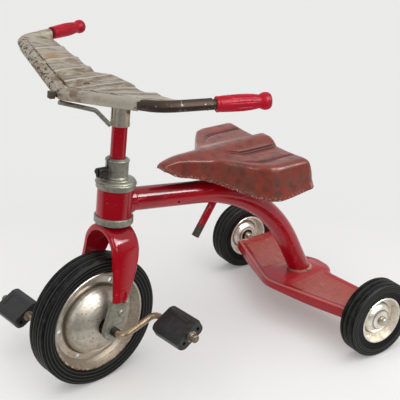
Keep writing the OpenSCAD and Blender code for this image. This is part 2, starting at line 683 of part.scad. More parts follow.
module pinch_bolt() color(rusty)
    fork_frame() translate([ear_x, 0, pinch_z]) on_axle() {
        translate([0, 0, -16]) cylinder(r = 3, h = 24);
        translate([0, 0, 7.5]) cylinder(r = 7, h = 5, $fn = 6);
    }
module pinch_nut() color(rusty)
    fork_frame() translate([ear_x, -7.5 - 5, pinch_z]) on_axle() difference() {
        cylinder(r = 6.5, h = 5, $fn = 6);
        translate([0, 0, -1]) cylinder(r = 3.05, h = 7);
    }

// Dropouts: flanged plates riveted inside the fork feet, bored for the crank
drop_y = arch_r * cos(arch_a0) + leg_run * sin(leg_splay) - fork_sheet - 2.6;
drop_end_r = 20;
drop_top_w = 34;
tongue_w = 11;
foot_x = fork_rake * leg_set;
module drop_outline(i) {
    translate([fork_rake, 0]) circle(r = drop_end_r - i);
    u = unit([foot_x - fork_rake, leg_foot_z]);
    n = [u.y, -u.x];
    top = [foot_x, leg_foot_z - 4.2];
    polygon([[fork_rake, 0] + n * (drop_end_r - i), [fork_rake, 0] - n * (drop_end_r - i),
             top - n * (drop_top_w / 2 - i), top + n * (drop_top_w / 2 - i)]);
}
module dropout(s) color(zinc)
    fork_frame() difference() {
        union() {
            translate([0, s > 0 ? drop_y : drop_depth - drop_y, 0]) rotate([90, 0, 0]) difference() {
                linear_extrude(drop_depth) drop_outline(0);
                translate([0, 0, s > 0 ? drop_sheet : -1])
                    linear_extrude(drop_depth - drop_sheet + 1) drop_outline(drop_sheet);
            }
            // tongue inside the leg, at the leg's splay
            translate([foot_x - tongue_w / 2, s * (drop_y - drop_sheet), leg_foot_z - 7])
                rotate([s * leg_splay, 0, 0]) translate([0, s > 0 ? 0 : -drop_sheet, 0])
                    cube([tongue_w, drop_sheet, 34]);
        }
        on_axle_at(fork_rake, 0) cylinder(r = bush_out + 0.02, h = 400, center = true);
        on_axle_at(rivet_x, rivet_z) cylinder(r = 4.1, h = 400, center = true);
    }
drop_sheet = 2.4;
drop_depth = 9.5;
rivet_x = 16.5;
rivet_z = 33;
bush_out = crank_d / 2 + 2.4;
module on_axle_at(x, z) translate([x, 0, z]) on_axle() children();
module dropout_left() dropout(1);
module dropout_right() dropout(-1);

module dropout_rivets() color(zinc)
    fork_frame() for (s = [-1, 1]) translate([rivet_x, s * drop_y, rivet_z]) rotate([-90 * s, 0, 0]) {
        rotate_extrude() polygon([[0, 0], [6.6, 0], [6.2, 1.6], [4.6, 2.8], [0, 3.2]]);
        translate([0, 0, -5]) cylinder(r = 4, h = 5.5);
        translate([0, 0, -5]) cylinder(r = 6, h = 2.5);
    }

// Bushes that carry the crank in the dropouts
bush_in_y = drop_y - 3;
bush_lip = 0.45;
module crank_bushes() color(bronze)
    fork_frame() for (s = [-1, 1]) translate([fork_rake, s * bush_in_y, 0]) rotate([-90 * s, 0, 0])
        difference() {
            union() {
                cylinder(r = bush_out, h = 13);
                cylinder(r = bush_out + 1.5, h = bush_lip);
            }
            translate([0, 0, -1]) cylinder(r = crank_d / 2 + run, h = 20);
        }

// Crank: one bent rod through the hub, its arms half a turn apart
crank_bend = 16;
knee_y = 88;
pedal_y0 = 128;
spindle_end = pedal_y0 + pedal_len + 10;
module crank() color(nickel)
    crank_frame() bent_bar([
        [-crank_throw, -spindle_end, 0], [-crank_throw, -crank_reach, 0], [0, -knee_y, 0],
        [0, knee_y, 0], [crank_throw, crank_reach, 0], [crank_throw, spindle_end, 0]
    ], crank_bend, crank_d / 2);

// Front hub: a spool on the crank, with a cup behind each dome
cup_r = hub_hole_d / 2;
hub_end = bush_in_y - seat_gap;
dome_y = sheet + dome_h * sqrt(1 - pow(hub_hole_d / dome_d, 2));
module front_hub() color(bare_steel)
    wheel_frame() on_axle() difference() {
        rotate_extrude() polygon(concat(
            [[crank_d / 2 + run, -hub_end], [crank_d / 2 + 3, -hub_end]],
            [[crank_d / 2 + 3, -dome_y + 10], [cup_r - 1.7, -dome_y + 9],
             [cup_r - 1.7, -dome_y + 0.5], [cup_r - 2 * snug, -dome_y + 0.5],
             [cup_r - 2 * snug, -dome_y + 12],
             [crank_d / 2 + 4, -dome_y + 14]],
            [[crank_d / 2 + 4, dome_y - 14], [cup_r - 2 * snug, dome_y - 12],
             [cup_r - 2 * snug, dome_y - 0.5], [cup_r - 1.7, dome_y - 0.5], [cup_r - 1.7, dome_y - 9],
             [crank_d / 2 + 3, dome_y - 10]],
            [[crank_d / 2 + 3, hub_end], [crank_d / 2 + run, hub_end]]));
        rotate([90, 0, 0]) cylinder(r = 2.05, h = 60, center = true);
    }
// Cross pin that locks the hub to the crank
module hub_pin() color(rusty)
    wheel_frame() for (s = [-1, 1]) translate([0, 0, s * (crank_d / 2 + 0.1)])
        rotate([s < 0 ? 180 : 0, 0, 0]) cylinder(r = 2, h = 6);

// Front discs: two pressings back to back, domed, with a flange ring and a flared rim
module front_disc(s) color(bare_steel)
    wheel_frame() rotate([-90 * s, 0, 0]) difference() {
        rotate_extrude() polygon(wall(flip(concat(
            [for (i = [0:9]) let (a = mix(asin(hub_hole_d / dome_d), 87, i / 9))
                [dome_d / 2 * sin(a), sheet + dome_h * cos(a)]],
            [[dome_d / 2 + 3, sheet], [flange_r, sheet]],
            [[flange_r + 5, 9], [flange_r + 8, 14.5]],
            arc([front_rim_d / 2 - 3, front_tyre_w / 2 - 5.6], 3, 120, 30, 3))), sheet));
        for (k = [0:flange_holes - 1]) rotate([0, 0, k * 360 / flange_holes + (s > 0 ? 6 : -6)])
            translate([(dome_d / 2 + flange_r) / 2 + 1, 0, -5]) cylinder(r = flange_hole_r, h = 12);
    }
flange_hole_r = 4.4;
module front_disc_left() front_disc(1);
module front_disc_right() front_disc(-1);

// Tyre outline: sidewalls, round shoulders and circumferential ribs
function tyre_half(R, w, seat_r, lip_r, lip_y) = concat(
    [[seat_r, 0], [seat_r + 4.6, 6], [seat_r + 8.6, 12], [lip_r - 1.4, lip_y - 1.2],
     [lip_r + 1.2, lip_y + 0.4]],
    [[lip_r + 3.2, w / 2 - 1.4], [mix(lip_r, R, 0.45), w / 2], [R - 6, w / 2 - 0.3]],
    arc([R - 5.5, w / 2 - 5.6], 5.5, 84, 35, 3));
function ribs(R, w, n) =
    let (edge = w / 2 - 4.2, pitch = 2 * edge / n)
    [for (k = [0:n]) let (g = edge - k * pitch)
        each (k == 0 || k == n ? [] : [[R, g + 1.3], [R - 2, g + 0.6], [R - 2, g - 0.6], [R, g - 1.3]])];
module tyre(R, w, seat_r, lip_r, lip_y, n) {
    half = tyre_half(R, w, seat_r, lip_r, lip_y);
    edge = w / 2 - 4.2;
    rotate_extrude() polygon(concat(half, [[R, edge]], ribs(R, w, n), [[R, -edge]],
        [for (i = [len(half) - 1:-1:1]) [half[i].x, -half[i].y]]));
}
module front_tyre() color(rubber)
    wheel_frame() on_axle()
        tyre(front_r, front_tyre_w, flange_r + 1.4, front_rim_d / 2, front_tyre_w / 2 - 4.2, 5);

// Pedals: a ridged rubber block on a sleeve that runs on the crank's end
block_bore = crank_d / 2 + 3;
pedal_side = 8;    // half height of a block's side faces
pedal_corner = 7;  // radius of a block's corners, seen from above
module pedal_block(s) color(rubber)
    pedal_frame(s) rotate([-90 * s, 0, 0]) translate([0, 0, pedal_y0]) difference() {
        intersection() {
            linear_extrude(pedal_len) polygon(rounded([
                [pedal_w / 2, pedal_side], [pedal_w / 2 - 11, pedal_t / 2],
                [11 - pedal_w / 2, pedal_t / 2], [-pedal_w / 2, pedal_side],
                [-pedal_w / 2, -pedal_side], [11 - pedal_w / 2, -pedal_t / 2],
                [pedal_w / 2 - 11, -pedal_t / 2], [pedal_w / 2, -pedal_side]], 3.5, 4));
            translate([0, pedal_t, pedal_len / 2]) rotate([90, 0, 0]) linear_extrude(2 * pedal_t)
                polygon(rounded([for (c = [[1, 1], [-1, 1], [-1, -1], [1, -1]])
                    [c.x * pedal_w / 2, c.y * pedal_len / 2]], pedal_corner, 6));
        }
        translate([0, 0, -1]) cylinder(r = block_bore, h = pedal_len + 2);
        // recesses in both ends and a shallow hollow in each face
        for (x = [-18, 18], z = [-1, pedal_len - 5]) translate([x, 0, z]) cylinder(r = 3.5, h = 6);
        for (y = [-1, 1]) translate([0, y * (pedal_t / 2 + 1.2), pedal_len / 2])
            cube([26, 4, pedal_len - 22], center = true);
    }
module pedal_sleeve(s) color(bare_steel)
    pedal_frame(s) rotate([-90 * s, 0, 0]) translate([0, 0, pedal_y0 - 0.5]) difference() {
        cylinder(r = block_bore - 0.02, h = pedal_len + 1);
        translate([0, 0, -1]) cylinder(r = crank_d / 2 + run, h = pedal_len + 3);
    }
module pedal_block_left() pedal_block(1);
module pedal_block_right() pedal_block(-1);
module pedal_sleeve_left() pedal_sleeve(1);
module pedal_sleeve_right() pedal_sleeve(-1);

module pedal_washers() color(bare_steel)
    for (s = [-1, 1], y = [pedal_y0 - 2.3, pedal_y0 + pedal_len + 0.8])
        pedal_frame(s) rotate([-90 * s, 0, 0]) translate([0, 0, y]) difference() {
            cylinder(r = crank_d / 2 + 4, h = 1.5);
            translate([0, 0, -1]) cylinder(r = crank_d / 2 + 0.02, h = 4);
        }
module pedal_caps() color(rusty)
    for (s = [-1, 1])
        pedal_frame(s) rotate([-90 * s, 0, 0]) translate([0, 0, pedal_y0 + pedal_len + 2.5])
            rotate_extrude() polygon(concat(
                [[crank_d / 2 + 0.02, 0], [crank_d / 2 + 2.6, 0], [crank_d / 2 + 2.6, 3]],
                [[crank_d / 2 + 1.6, 4], [crank_d / 2 + 1.6, 9]],
                arc([crank_d / 2 - 1.4, 9], 3, 0, 80, 4),
                [[0, 12.4], [0, 9.5], [crank_d / 2 + 0.02, 9.5]]));

// Rear wheels: hub tube, two domed discs back to back and a ribbed tyre
module rear_hub(s) color(bare_steel)
    rear_frame(s) on_axle() difference() {
        union() {
            cylinder(r = axle_d / 2 + 2.4, h = 2 * hub_half, center = true);
            cylinder(r = axle_d / 2 + 3.6, h = 2 * (sheet + rear_dome_h) - 5, center = true);
        }
        cylinder(r = axle_d / 2 + run, h = 60, center = true);
    }
module rear_disc(s, o) color(bare_steel)
    rear_frame(s) rotate([-90 * o, 0, 0]) difference() {
        rotate_extrude() polygon(wall(flip(concat(
            [for (i = [0:7]) let (a = mix(asin((axle_d + 8) / rear_dome_d), 86, i / 7))
                [rear_dome_d / 2 * sin(a), sheet + rear_dome_h * cos(a)]],
            [[rear_dome_d / 2 + 2.5, sheet], [rear_flange_r - 1, sheet]],
            [[rear_flange_r + 1.5, 8], [rear_flange_r + 3, 13.5]],
            arc([rear_rim_d / 2 - 2.4, rear_tyre_w / 2 - 3.2], 2.4, 120, 30, 3))), sheet));
        for (k = [0:3]) rotate([0, 0, k * 90 + 35 * o])
            translate([(rear_dome_d / 2 + rear_flange_r) / 2, 0, -5]) cylinder(r = 1.6, h = 12);
    }
module rear_tyre(s) color(rubber)
    rear_frame(s) on_axle()
        tyre(rear_r, rear_tyre_w, rear_flange_r + 0.4, rear_rim_d / 2, rear_tyre_w / 2 - 2.1, 5);
module rear_hub_left() rear_hub(1);
module rear_hub_right() rear_hub(-1);
module rear_disc_out_left() rear_disc(1, 1);
module rear_disc_in_left() rear_disc(1, -1);
module rear_disc_out_right() rear_disc(-1, -1);
module rear_disc_in_right() rear_disc(-1, 1);
module rear_tyre_left() rear_tyre(1);
module rear_tyre_right() rear_tyre(-1);

// Stem and its split socket under the bar
module bar_frame() steering(bar_turn) children();
stem_sink = 66;
module stem() color(enamel)
    bar_frame() difference() {
        translate([0, 0, collar_top - stem_sink])
            cylinder(r = stem_d / 2, h = stem_sink + stem_show + 40);
        translate([0, 0, collar_top - stem_sink - 1])
            cylinder(r = stem_d / 2 - 2, h = stem_sink + stem_show + 42);
    }
module stem_socket() color(nickel)
    bar_frame() difference() {
        union() {
            translate([0, 0, socket_z]) cylinder(r = stem_d / 2 + 2.8, h = socket_h);
            translate([0, 0, socket_z]) cylinder(r = stem_d / 2 + 3.4, h = 5);
        }
        translate([0, 0, socket_z - 1]) cylinder(r = stem_d / 2 + 0.02, h = socket_h + 2);
        translate([0, -2.2, socket_z + 12]) cube([40, 4.4, socket_h]);
        // cut away under the wing's rear fold
        translate([-3, 0, socket_z + socket_h - 2]) rotate([0, -49, 0])
            translate([-60, -60, 0]) cube([120, 120, 60]);
    }

// Handlebar tube: a shallow V with two swept-back arms
bar_apex = [bar_front, 0, bar_z];
module bar_lean() translate(bar_apex) rotate([-bar_sag, 0, 0]) translate(-bar_apex) children();
bar_corner = [bar_front - 36, bar_half, bar_z + bar_rise];
bar_tip = [bar_front - 191.5, bar_half + 53.4, bar_z + bar_rise + 15.5];
bar_bend = 45;
function over(p) = [p.x, -p.y, p.z];
bar_points = [over(bar_tip), over(bar_corner), bar_apex, bar_corner, bar_tip];
module handlebar_tube() color(rusty)
    bar_frame() bar_lean() difference() {
        bent_bar(bar_points, bar_bend, bar_d / 2);
        translate(bar_apex) rotate([0, 90, 0]) cylinder(r = 3.1, h = 60, center = true);
    }

// Wing: a pressed sheet rolled round the bar, drawn back over the stem and out to the grips
wing_t = 1.2;
wing_roll = bar_d / 2 + 0.8;
rib_at = [[22, 2], [66, 4.5], [114, 4], [173, 2.5]]; // place along the bar, height
lobe_half_w = 57;
bar_u = unit(bar_corner - bar_apex);
bar_v = unit(bar_tip - bar_corner);
bar_w = unit(bar_v - (bar_u * bar_v) * bar_u);
bar_angle = acos(bar_u * bar_v);
bar_cut = bar_bend * tan(bar_angle / 2);
wing_fan_y = (bar_corner - bar_cut * bar_u).y;
wing_arm = norm(bar_tip - bar_corner) - grip_len - 3;

// Middle of the bar under the wing's front: straight, round the bend, then along the arm
function lead(y) = mix(bar_apex, bar_corner, sqrt(y * y + 23) / bar_half);
function round_bend(a) =
    bar_corner - bar_cut * bar_u + bar_bend * ((1 - cos(a)) * bar_w + sin(a) * bar_u);
function outward(v) = unit([v.y, -v.x, 0]);
// Rear edge: a rounded lobe over the stem, then a straight line to the grip
trail_in = [25, lobe_half_w, bar_z + 18.9];
trail_out = bar_corner + wing_arm * bar_v - 9.6 * outward(bar_v) - [0, 0, 9];
function trail(y) = y > lobe_half_w
    ? mix(trail_in, trail_out, (y - lobe_half_w) / (trail_out.y - lobe_half_w))
    : trail_in + pow(cos(y / lobe_half_w * 90), 0.7) * [-18, 0, 1.5] + [0, y - lobe_half_w, 0];
function rib(y) = max([for (k = rib_at) k[1] * pow(max(0, 1 - abs(y - k[0]) / 16), 1.3)]);
// The ribs spread a little towards the rear
function rear_of(y) = y * (1 + 0.17 * (1 - smooth(173, wing_fan_y, y)));

// A row of the wing: the bar's middle, the way out from it, the rear edge, the start of the
// wrap round the bar, the rib's height and the share of the rear fold
function row_at(y) = let (q = rear_of(y))
    [lead(y), [1, 0, 0], trail(q), mix(-130, 12, smooth(178, 224, y)), rib(y),
     q < lobe_half_w ? pow(cos(q / lobe_half_w * 90), 0.5) : 0];
// Where the sheet leaves the bar: the tangent from the rear edge, seen along the bar
function leave(row) =
    let (
        q = row[2] - row[0],
        back = -q * row[1],
        a = atan2(q.z, -back)
    )
    (a < 0 ? a + 360 : a) - acos(min(0.99, wing_roll / norm([back, q.z])));
function fan_row(p, v, k) =
    [p, outward(v), mix(trail(wing_fan_y), trail_out, k), 12, 0, 0];
wing_chord = [0.06, 0.16, 0.3, 0.55, 0.8, 1];
wing_y = [0, 7, 14, 22, 30, 38, 46, 50, 61, 66, 71, 77, 90, 104, 110, 114, 118, 126, 140, 152, 163,
    169, 173, 177, 184, 190, 196, 202, 209];
wing_rows = concat(
    [for (y = wing_y) row_at(y)],
    [for (i = [0:5]) let (a = bar_angle * i / 5)
        fan_row(round_bend(a), cos(a) * bar_u + sin(a) * bar_w, i * 0.088)],
    [for (i = [1:4]) fan_row(bar_corner + mix(bar_cut, wing_arm, i / 4) * bar_v, bar_v,
        mix(0.44, 1, i / 4))]);
function wing_line(row, t) =
    let (
        r = wing_roll + t,
        a = leave(row),
        off = cos(a) * row[1] + [0, 0, sin(a)],
        top = row[0] + r * off,
        back = row[2] + t * off,
        fold = row[5]
    )
    concat(
        [for (i = [0:7]) let (k = mix(row[3], a, i / 7))
            row[0] + r * cos(k) * row[1] + [0, 0, r * sin(k)]],
        [for (k = wing_chord) mix(top, back, k) + [0, 0, row[4] * smooth(0, 0.3, k)]],
        [for (q = [[0.9, 0.5, 9, 2.5], [1.6, 1.4, 20, 8], [1.7, 3.4, 25.5, 20]])
            back + [0, 0, row[4]] - (mix(q[0], q[2], fold) + t) * row[1]
                - [0, 0, mix(q[1], q[3], fold) + t * 0.8]]
    );
function mirror_y(line) = [for (p = line) [p.x, -p.y, p.z]];
function wing_grid(t) = concat(
    [for (i = [len(wing_rows) - 1:-1:1]) mirror_y(wing_line(wing_rows[i], t))],
    [for (row = wing_rows) wing_line(row, t)]);
module handlebar_wing() color(nickel)
    bar_frame() difference() {
        bar_lean() skin(wing_grid(0), wing_grid(wing_t));
        translate(bar_apex) rotate([0, 90, 0]) cylinder(r = 5, h = 60, center = true, $fn = 32);
        // small hole behind the bar, on the middle line
        translate([bar_front - 48, 0, bar_z]) cylinder(r = wing_hole_r, h = 40, $fn = 24);
    }
wing_hole_r = 2.6;

// Brace rod from the bolt at the front of the bar to the foot of the socket
brace_d = 8;
brace = [[bar_front + 2, 0, bar_z - 13.5], [50, 0, socket_z + 30], [20, 0, socket_z + 1.5]];
module brace_rod() color(nickel)
    bar_frame() difference() {
        bent_bar(brace, 24, brace_d / 2);
        translate([0, 0, socket_z - 30]) cylinder(r = stem_d / 2 + 3.42, h = 120);
    }

module apex_bolt() color(rusty)
    bar_frame() translate([bar_front, 0, bar_z]) rotate([0, 90, 0]) {
        translate([0, 0, -16]) cylinder(r = 3, h = 34);
        translate([0, 0, 12]) rotate([0, 0, 45]) cylinder(r = 8, h = 9, $fn = 4);
    }
module apex_nut() color(rusty)
    bar_frame() translate([bar_front - 9.5, 0, bar_z]) rotate([0, -90, 0]) difference() {
        cylinder(r = 6.2, h = 4.5, $fn = 6);
        translate([0, 0, -1]) cylinder(r = 3.05, h = 8);
    }

// Grips: moulded handles with a swelled, fluted body, a neck and a knob at the end
grip_mid = 0.45;   // place of the fullest part along the grip
grip_neck = 0.78;  // place of the neck
flute_n = 12;
flute_r = 2.2;
function grip_r(z) =
    let (R = grip_d / 2, k = z / grip_len)
    R - (k < grip_mid ? 1.4 * pow(1 - k / grip_mid, 2)
        : 2.6 * pow((k - grip_mid) / (grip_neck - grip_mid), 2));
module grip(s) color(grip_red) {
    a = s > 0 ? bar_corner : over(bar_corner);
    b = s > 0 ? bar_tip : over(bar_tip);
    ez = unit(b - a);
    ex = unit(cross([0, 0, 1], ez));
    R = grip_d / 2;
    neck = grip_neck * grip_len;
    bar_frame() bar_lean() basis(b - ez * (grip_len - 4), ex, cross(ez, ex), ez) difference() {
        rotate_extrude() polygon(concat(
            [[0, 0], [R - 1.8, 0], [R - 0.9, 1], [R - 0.9, 3.4], [R - 1.4, 4]],
            [for (i = [0:9]) let (z = mix(6, neck, i / 9)) [grip_r(z), z]],
            [[R - 2.2, neck + 2], [R - 0.6, neck + 5], [R + 0.3, neck + 8], [R + 0.4, neck + 12],
             [R - 0.4, neck + 15.5], [R - 2.4, neck + 18], [R - 5, grip_len], [0, grip_len]]));
        translate([0, 0, -1]) cylinder(r = bar_d / 2 + run, h = grip_len - 3 + run);
        for (k = [0:flute_n - 1]) rotate([0, 0, (k + 0.5) * 360 / flute_n])
            bar([R + 1.9, 0, 0.21 * grip_len], [R + 0.1, 0, 0.79 * grip_len], flute_r);
    }
}
module grip_left() grip(1);
module grip_right() grip(-1);

head_tube();
upper_cup();
lower_cup();
upper_bush();
lower_bush();
frame_tube();
head_weld();
step_plate();
step_weld();
rear_axle();
axle_washers();
axle_caps();
post_sleeve();
post_set_bolt();
seat_post();
seat_bracket();
seat_pan();
seat_rivets();
fork_blades();
steerer();
clamp_collar();
pinch_bolt();
pinch_nut();
dropout_left();
dropout_right();
dropout_rivets();
crank_bushes();
stem();
stem_socket();
handlebar_tube();
handlebar_wing();
brace_rod();
apex_bolt();
apex_nut();
grip_left();
grip_right();
crank();
front_hub();
hub_pin();
front_disc_left();
front_disc_right();
front_tyre();
pedal_washers();
pedal_caps();
pedal_block_left();
pedal_sleeve_left();
pedal_block_right();
pedal_sleeve_right();
rear_hub_left();
rear_disc_out_left();
rear_disc_in_left();
rear_tyre_left();
rear_hub_right();
rear_disc_out_right();
rear_disc_in_right();
rear_tyre_right();
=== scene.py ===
"""Looks of a child's pedal tricycle: red enamel, worn nickel and black rubber."""

import math

import bmesh
import bpy
from mathutils import Matrix, Vector, kdtree


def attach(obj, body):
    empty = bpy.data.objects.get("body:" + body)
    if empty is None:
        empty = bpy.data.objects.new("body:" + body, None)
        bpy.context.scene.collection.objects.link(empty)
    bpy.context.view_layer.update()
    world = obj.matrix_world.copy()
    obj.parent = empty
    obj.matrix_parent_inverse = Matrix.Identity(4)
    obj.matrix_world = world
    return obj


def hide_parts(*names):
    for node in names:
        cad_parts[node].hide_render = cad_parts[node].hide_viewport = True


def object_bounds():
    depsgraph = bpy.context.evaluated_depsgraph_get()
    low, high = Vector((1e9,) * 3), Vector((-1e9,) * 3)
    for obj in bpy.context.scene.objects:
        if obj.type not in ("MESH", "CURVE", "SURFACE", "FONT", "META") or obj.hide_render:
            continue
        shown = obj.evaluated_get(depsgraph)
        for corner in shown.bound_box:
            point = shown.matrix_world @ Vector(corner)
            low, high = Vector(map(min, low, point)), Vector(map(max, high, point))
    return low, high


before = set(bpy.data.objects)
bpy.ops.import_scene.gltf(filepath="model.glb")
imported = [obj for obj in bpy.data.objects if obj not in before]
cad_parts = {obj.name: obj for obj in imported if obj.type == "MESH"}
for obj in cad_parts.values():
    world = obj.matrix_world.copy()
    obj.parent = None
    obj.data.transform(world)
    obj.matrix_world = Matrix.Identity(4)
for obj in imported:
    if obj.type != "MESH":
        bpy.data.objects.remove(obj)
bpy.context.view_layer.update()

# --- The studio -------------------------------------------------------------------------
# A pale floor that runs into a pale surround, one very broad lamp high up, five window panes
# that only the gloss shows, and a camera on a stand with a long lens.
MM = 0.001  # a millimetre, in metres
CAMERA_PLACE = Vector((818.1, 1291.6, 973.9)) * MM
CAMERA_YAW = -2.137  # radians, as the next two
CAMERA_DIP = 0.398
CAMERA_ROLL = 0.001
PICTURE = 400         # pixels across
LENS_PIXELS = 868.69  # focal length in those pixels
LENS_SHIFT = (2.993, -9.617)  # to the side and up, in those pixels
SENSOR = 36.0         # mm across
NEAREST, FARTHEST = 0.05, 60.0

ahead = Vector((
    math.cos(CAMERA_YAW) * math.cos(CAMERA_DIP),
    math.sin(CAMERA_YAW) * math.cos(CAMERA_DIP),
    -math.sin(CAMERA_DIP),
))
level = ahead.cross(Vector((0, 0, 1))).normalized()
upright = level.cross(ahead)
across = math.cos(CAMERA_ROLL) * level + math.sin(CAMERA_ROLL) * upright
above = math.cos(CAMERA_ROLL) * upright - math.sin(CAMERA_ROLL) * level

lens = bpy.data.cameras.new("camera")
lens.sensor_width = SENSOR
lens.lens = SENSOR * LENS_PIXELS / PICTURE
lens.shift_x = LENS_SHIFT[0] / PICTURE
lens.shift_y = LENS_SHIFT[1] / PICTURE
lens.clip_start, lens.clip_end = NEAREST, FARTHEST
camera = bpy.data.objects.new("camera", lens)
camera.matrix_world = (
    Matrix.Translation(CAMERA_PLACE)
    @ Matrix((across, above, -ahead)).transposed().to_4x4()
)
scene = bpy.context.scene
scene.collection.objects.link(camera)
scene.camera = camera
scene.view_settings.view_transform = "Standard"


def colour(code):
    """Linear colour of an sRGB hex value."""
    parts = [int(code[i:i + 2], 16) / 255 for i in (0, 2, 4)]
    return [c / 12.92 if c <= 0.04045 else ((c + 0.055) / 1.055) ** 2.4 for c in parts] + [1]


def add(tree, kind, inputs=(), **settings):
    """Adds a node, with its settings, and with its inputs set or linked."""
    made = tree.nodes.new("ShaderNode" + kind)
    for name, value in settings.items():
        setattr(made, name, value)
    for name, value in dict(inputs).items():
        if isinstance(value, bpy.types.NodeSocket):
            tree.links.new(value, made.inputs[name])
        else:
            made.inputs[name].default_value = value
    return made


# The broad lamp: it lights evenly all over the floor, and its mirror image is left to the sky
BROAD_STRENGTH = 1.5
BROAD_SPREAD = math.radians(75)
BROAD_FROM = Vector((0.12, 0.30, 0.95))
broad = bpy.data.lights.new("broad_lamp", "SUN")
broad.energy = BROAD_STRENGTH
broad.angle = BROAD_SPREAD
broad_lamp = bpy.data.objects.new("broad_lamp", broad)
broad_lamp.rotation_euler = BROAD_FROM.to_track_quat("Z", "Y").to_euler()
broad_lamp.visible_glossy = False
scene.collection.objects.link(broad_lamp)

# The window panes: they give metal and enamel their highlights, and light nothing else
PANES = (  # place, aim, width, height, power
    ((-0.10, 2.10, 2.25), (0.15, 0.05, 0.25), 1.25, 1.45, 62.0),
    ((-1.35, 1.85, 2.15), (0.15, 0.05, 0.25), 0.85, 1.45, 42.0),
    ((2.30, 0.90, 1.20), (0.15, 0.05, 0.25), 0.35, 1.50, 12.0),
    ((0.20, 2.60, 0.95), (0.05, 0.05, 0.35), 1.70, 0.45, 7.0),
    ((-1.30, 2.30, 1.85), (-0.05, 0.05, 0.33), 2.60, 0.45, 26.0),
)
for n, (place, aim, wide, high, power) in enumerate(PANES):
    pane = bpy.data.lights.new(f"window_{n}", "AREA")
    pane.shape = "RECTANGLE"
    pane.size, pane.size_y = wide, high
    pane.energy = power
    window = bpy.data.objects.new(f"window_{n}", pane)
    window.location = place
    window.rotation_euler = (Vector(place) - Vector(aim)).to_track_quat("Z", "Y").to_euler()
    window.visible_diffuse = window.visible_camera = False
    scene.collection.objects.link(window)

# The surround: pale to the eye, an even fill, and in the gloss a room that is dim towards the
# camera's side and bright overhead and behind
TOWARDS_CAMERA = (0.53, 0.85, 0.0)
world = bpy.data.worlds.new("surround")
world.use_nodes = True
world.cycles.sampling_method = "NONE"
scene.world = world
air = world.node_tree
air.nodes.clear()
path = add(air, "LightPath")
looks = add(air, "TexCoord").outputs["Generated"]
facing = add(air, "VectorMath", {0: looks, 1: TOWARDS_CAMERA}, operation="DOT_PRODUCT")
dim = add(air, "MapRange", {"Value": facing.outputs["Value"], "From Min": -0.15, "From Max": 0.5,
                            "To Min": 0.8, "To Max": 0.13})
height = add(air, "SeparateXYZ", {0: looks})
sky = add(air, "MapRange", {"Value": height.outputs[2], "From Min": 0.55, "From Max": 0.85,
                            "To Min": 0.0, "To Max": 0.8})
room = add(air, "Math", {0: dim.outputs[0], 1: sky.outputs[0]}, operation="MAXIMUM")
looked_at = add(air, "Math", {0: path.outputs["Is Camera Ray"],
                              1: path.outputs["Is Transmission Ray"]}, operation="MAXIMUM")
seen = add(air, "Background", {"Color": colour("EBEDEF"), "Strength": 1.0})
gloss = add(air, "Background", {"Color": colour("FBFBFF"), "Strength": room.outputs[0]})
fill = add(air, "Background", {"Color": colour("FAFCFF"), "Strength": 0.52})
lit = add(air, "MixShader", {0: path.outputs["Is Glossy Ray"], 1: fill.outputs[0],
                             2: gloss.outputs[0]})
both = add(air, "MixShader", {0: looked_at.outputs[0], 1: lit.outputs[0], 2: seen.outputs[0]})
add(air, "OutputWorld", {"Surface": both.outputs[0]})

# The floor: one wide square just under the tyres
FLOOR_HALF = 14.0
FLOOR_GAP = 0.0002
shape = bmesh.new()
bmesh.ops.create_grid(shape, x_segments=1, y_segments=1, size=FLOOR_HALF)
floor_mesh = bpy.data.meshes.new("floor")
shape.to_mesh(floor_mesh)
shape.free()
floor = bpy.data.objects.new("floor", floor_mesh)
floor.data.transform(Matrix.Translation((0, 0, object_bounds()[0].z - FLOOR_GAP)))
scene.collection.objects.link(floor)


def material(name):
    """An empty material, its tree and the object's own coordinates."""
    made = bpy.data.materials.new(name)
    made.use_nodes = True
    made.node_tree.nodes.clear()
    return made, made.node_tree, add(made.node_tree, "TexCoord").outputs["Object"]


# White paper sweep: matt and even, so that it takes only a soft shadow
paper, tree, place = material("white_paper")
sheet = add(tree, "BsdfPrincipled", {"Base Color": colour("E3E2E0"), "Roughness": 0.9,
                                     "Specular IOR Level": 0.05})
spot = add(tree, "VectorMath", {0: place, 1: TOWARDS_CAMERA}, operation="DOT_PRODUCT")
lift = add(tree, "MapRange", {"Value": spot.outputs["Value"], "From Min": -0.6, "From Max": 0.1,
                              "To Min": 0.10, "To Max": 0.22})
glow = add(tree, "Emission", {"Color": colour("FFFEFA"), "Strength": lift.outputs[0]})
paler = add(tree, "AddShader", {0: sheet.outputs[0], 1: glow.outputs[0]})
# the gloss sees the paper dim on the camera's side, where its far end lies in the dark room
shadow_side = add(tree, "MapRange", {"Value": spot.outputs["Value"], "From Min": 0.25,
                                     "From Max": 0.62, "To Min": 0.0, "To Max": 0.95})
dark = add(tree, "BsdfDiffuse", {"Color": colour("202020")})
mirrored = add(tree, "MixShader", {0: shadow_side.outputs[0], 1: paler.outputs[0],
                                   2: dark.outputs[0]})
path = add(tree, "LightPath")
first = add(tree, "MixShader", {0: path.outputs["Is Camera Ray"], 1: sheet.outputs[0],
                                2: paler.outputs[0]})
through = add(tree, "MixShader", {0: path.outputs["Is Transmission Ray"], 1: first.outputs[0],
                                  2: paler.outputs[0]})
last = add(tree, "MixShader", {0: path.outputs["Is Glossy Ray"], 1: through.outputs[0],
                               2: mirrored.outputs[0]})
add(tree, "OutputMaterial", {"Surface": last.outputs[0]})
floor.data.materials.append(paper)

# --- Head tube, frame tube and their weld -------------------------------------------------
# Drawn steel tube: the long one is coped and welded to the head, and arches back to the step.
# All of it was dipped in red enamel and baked, and it has small chips and scuffs from use.


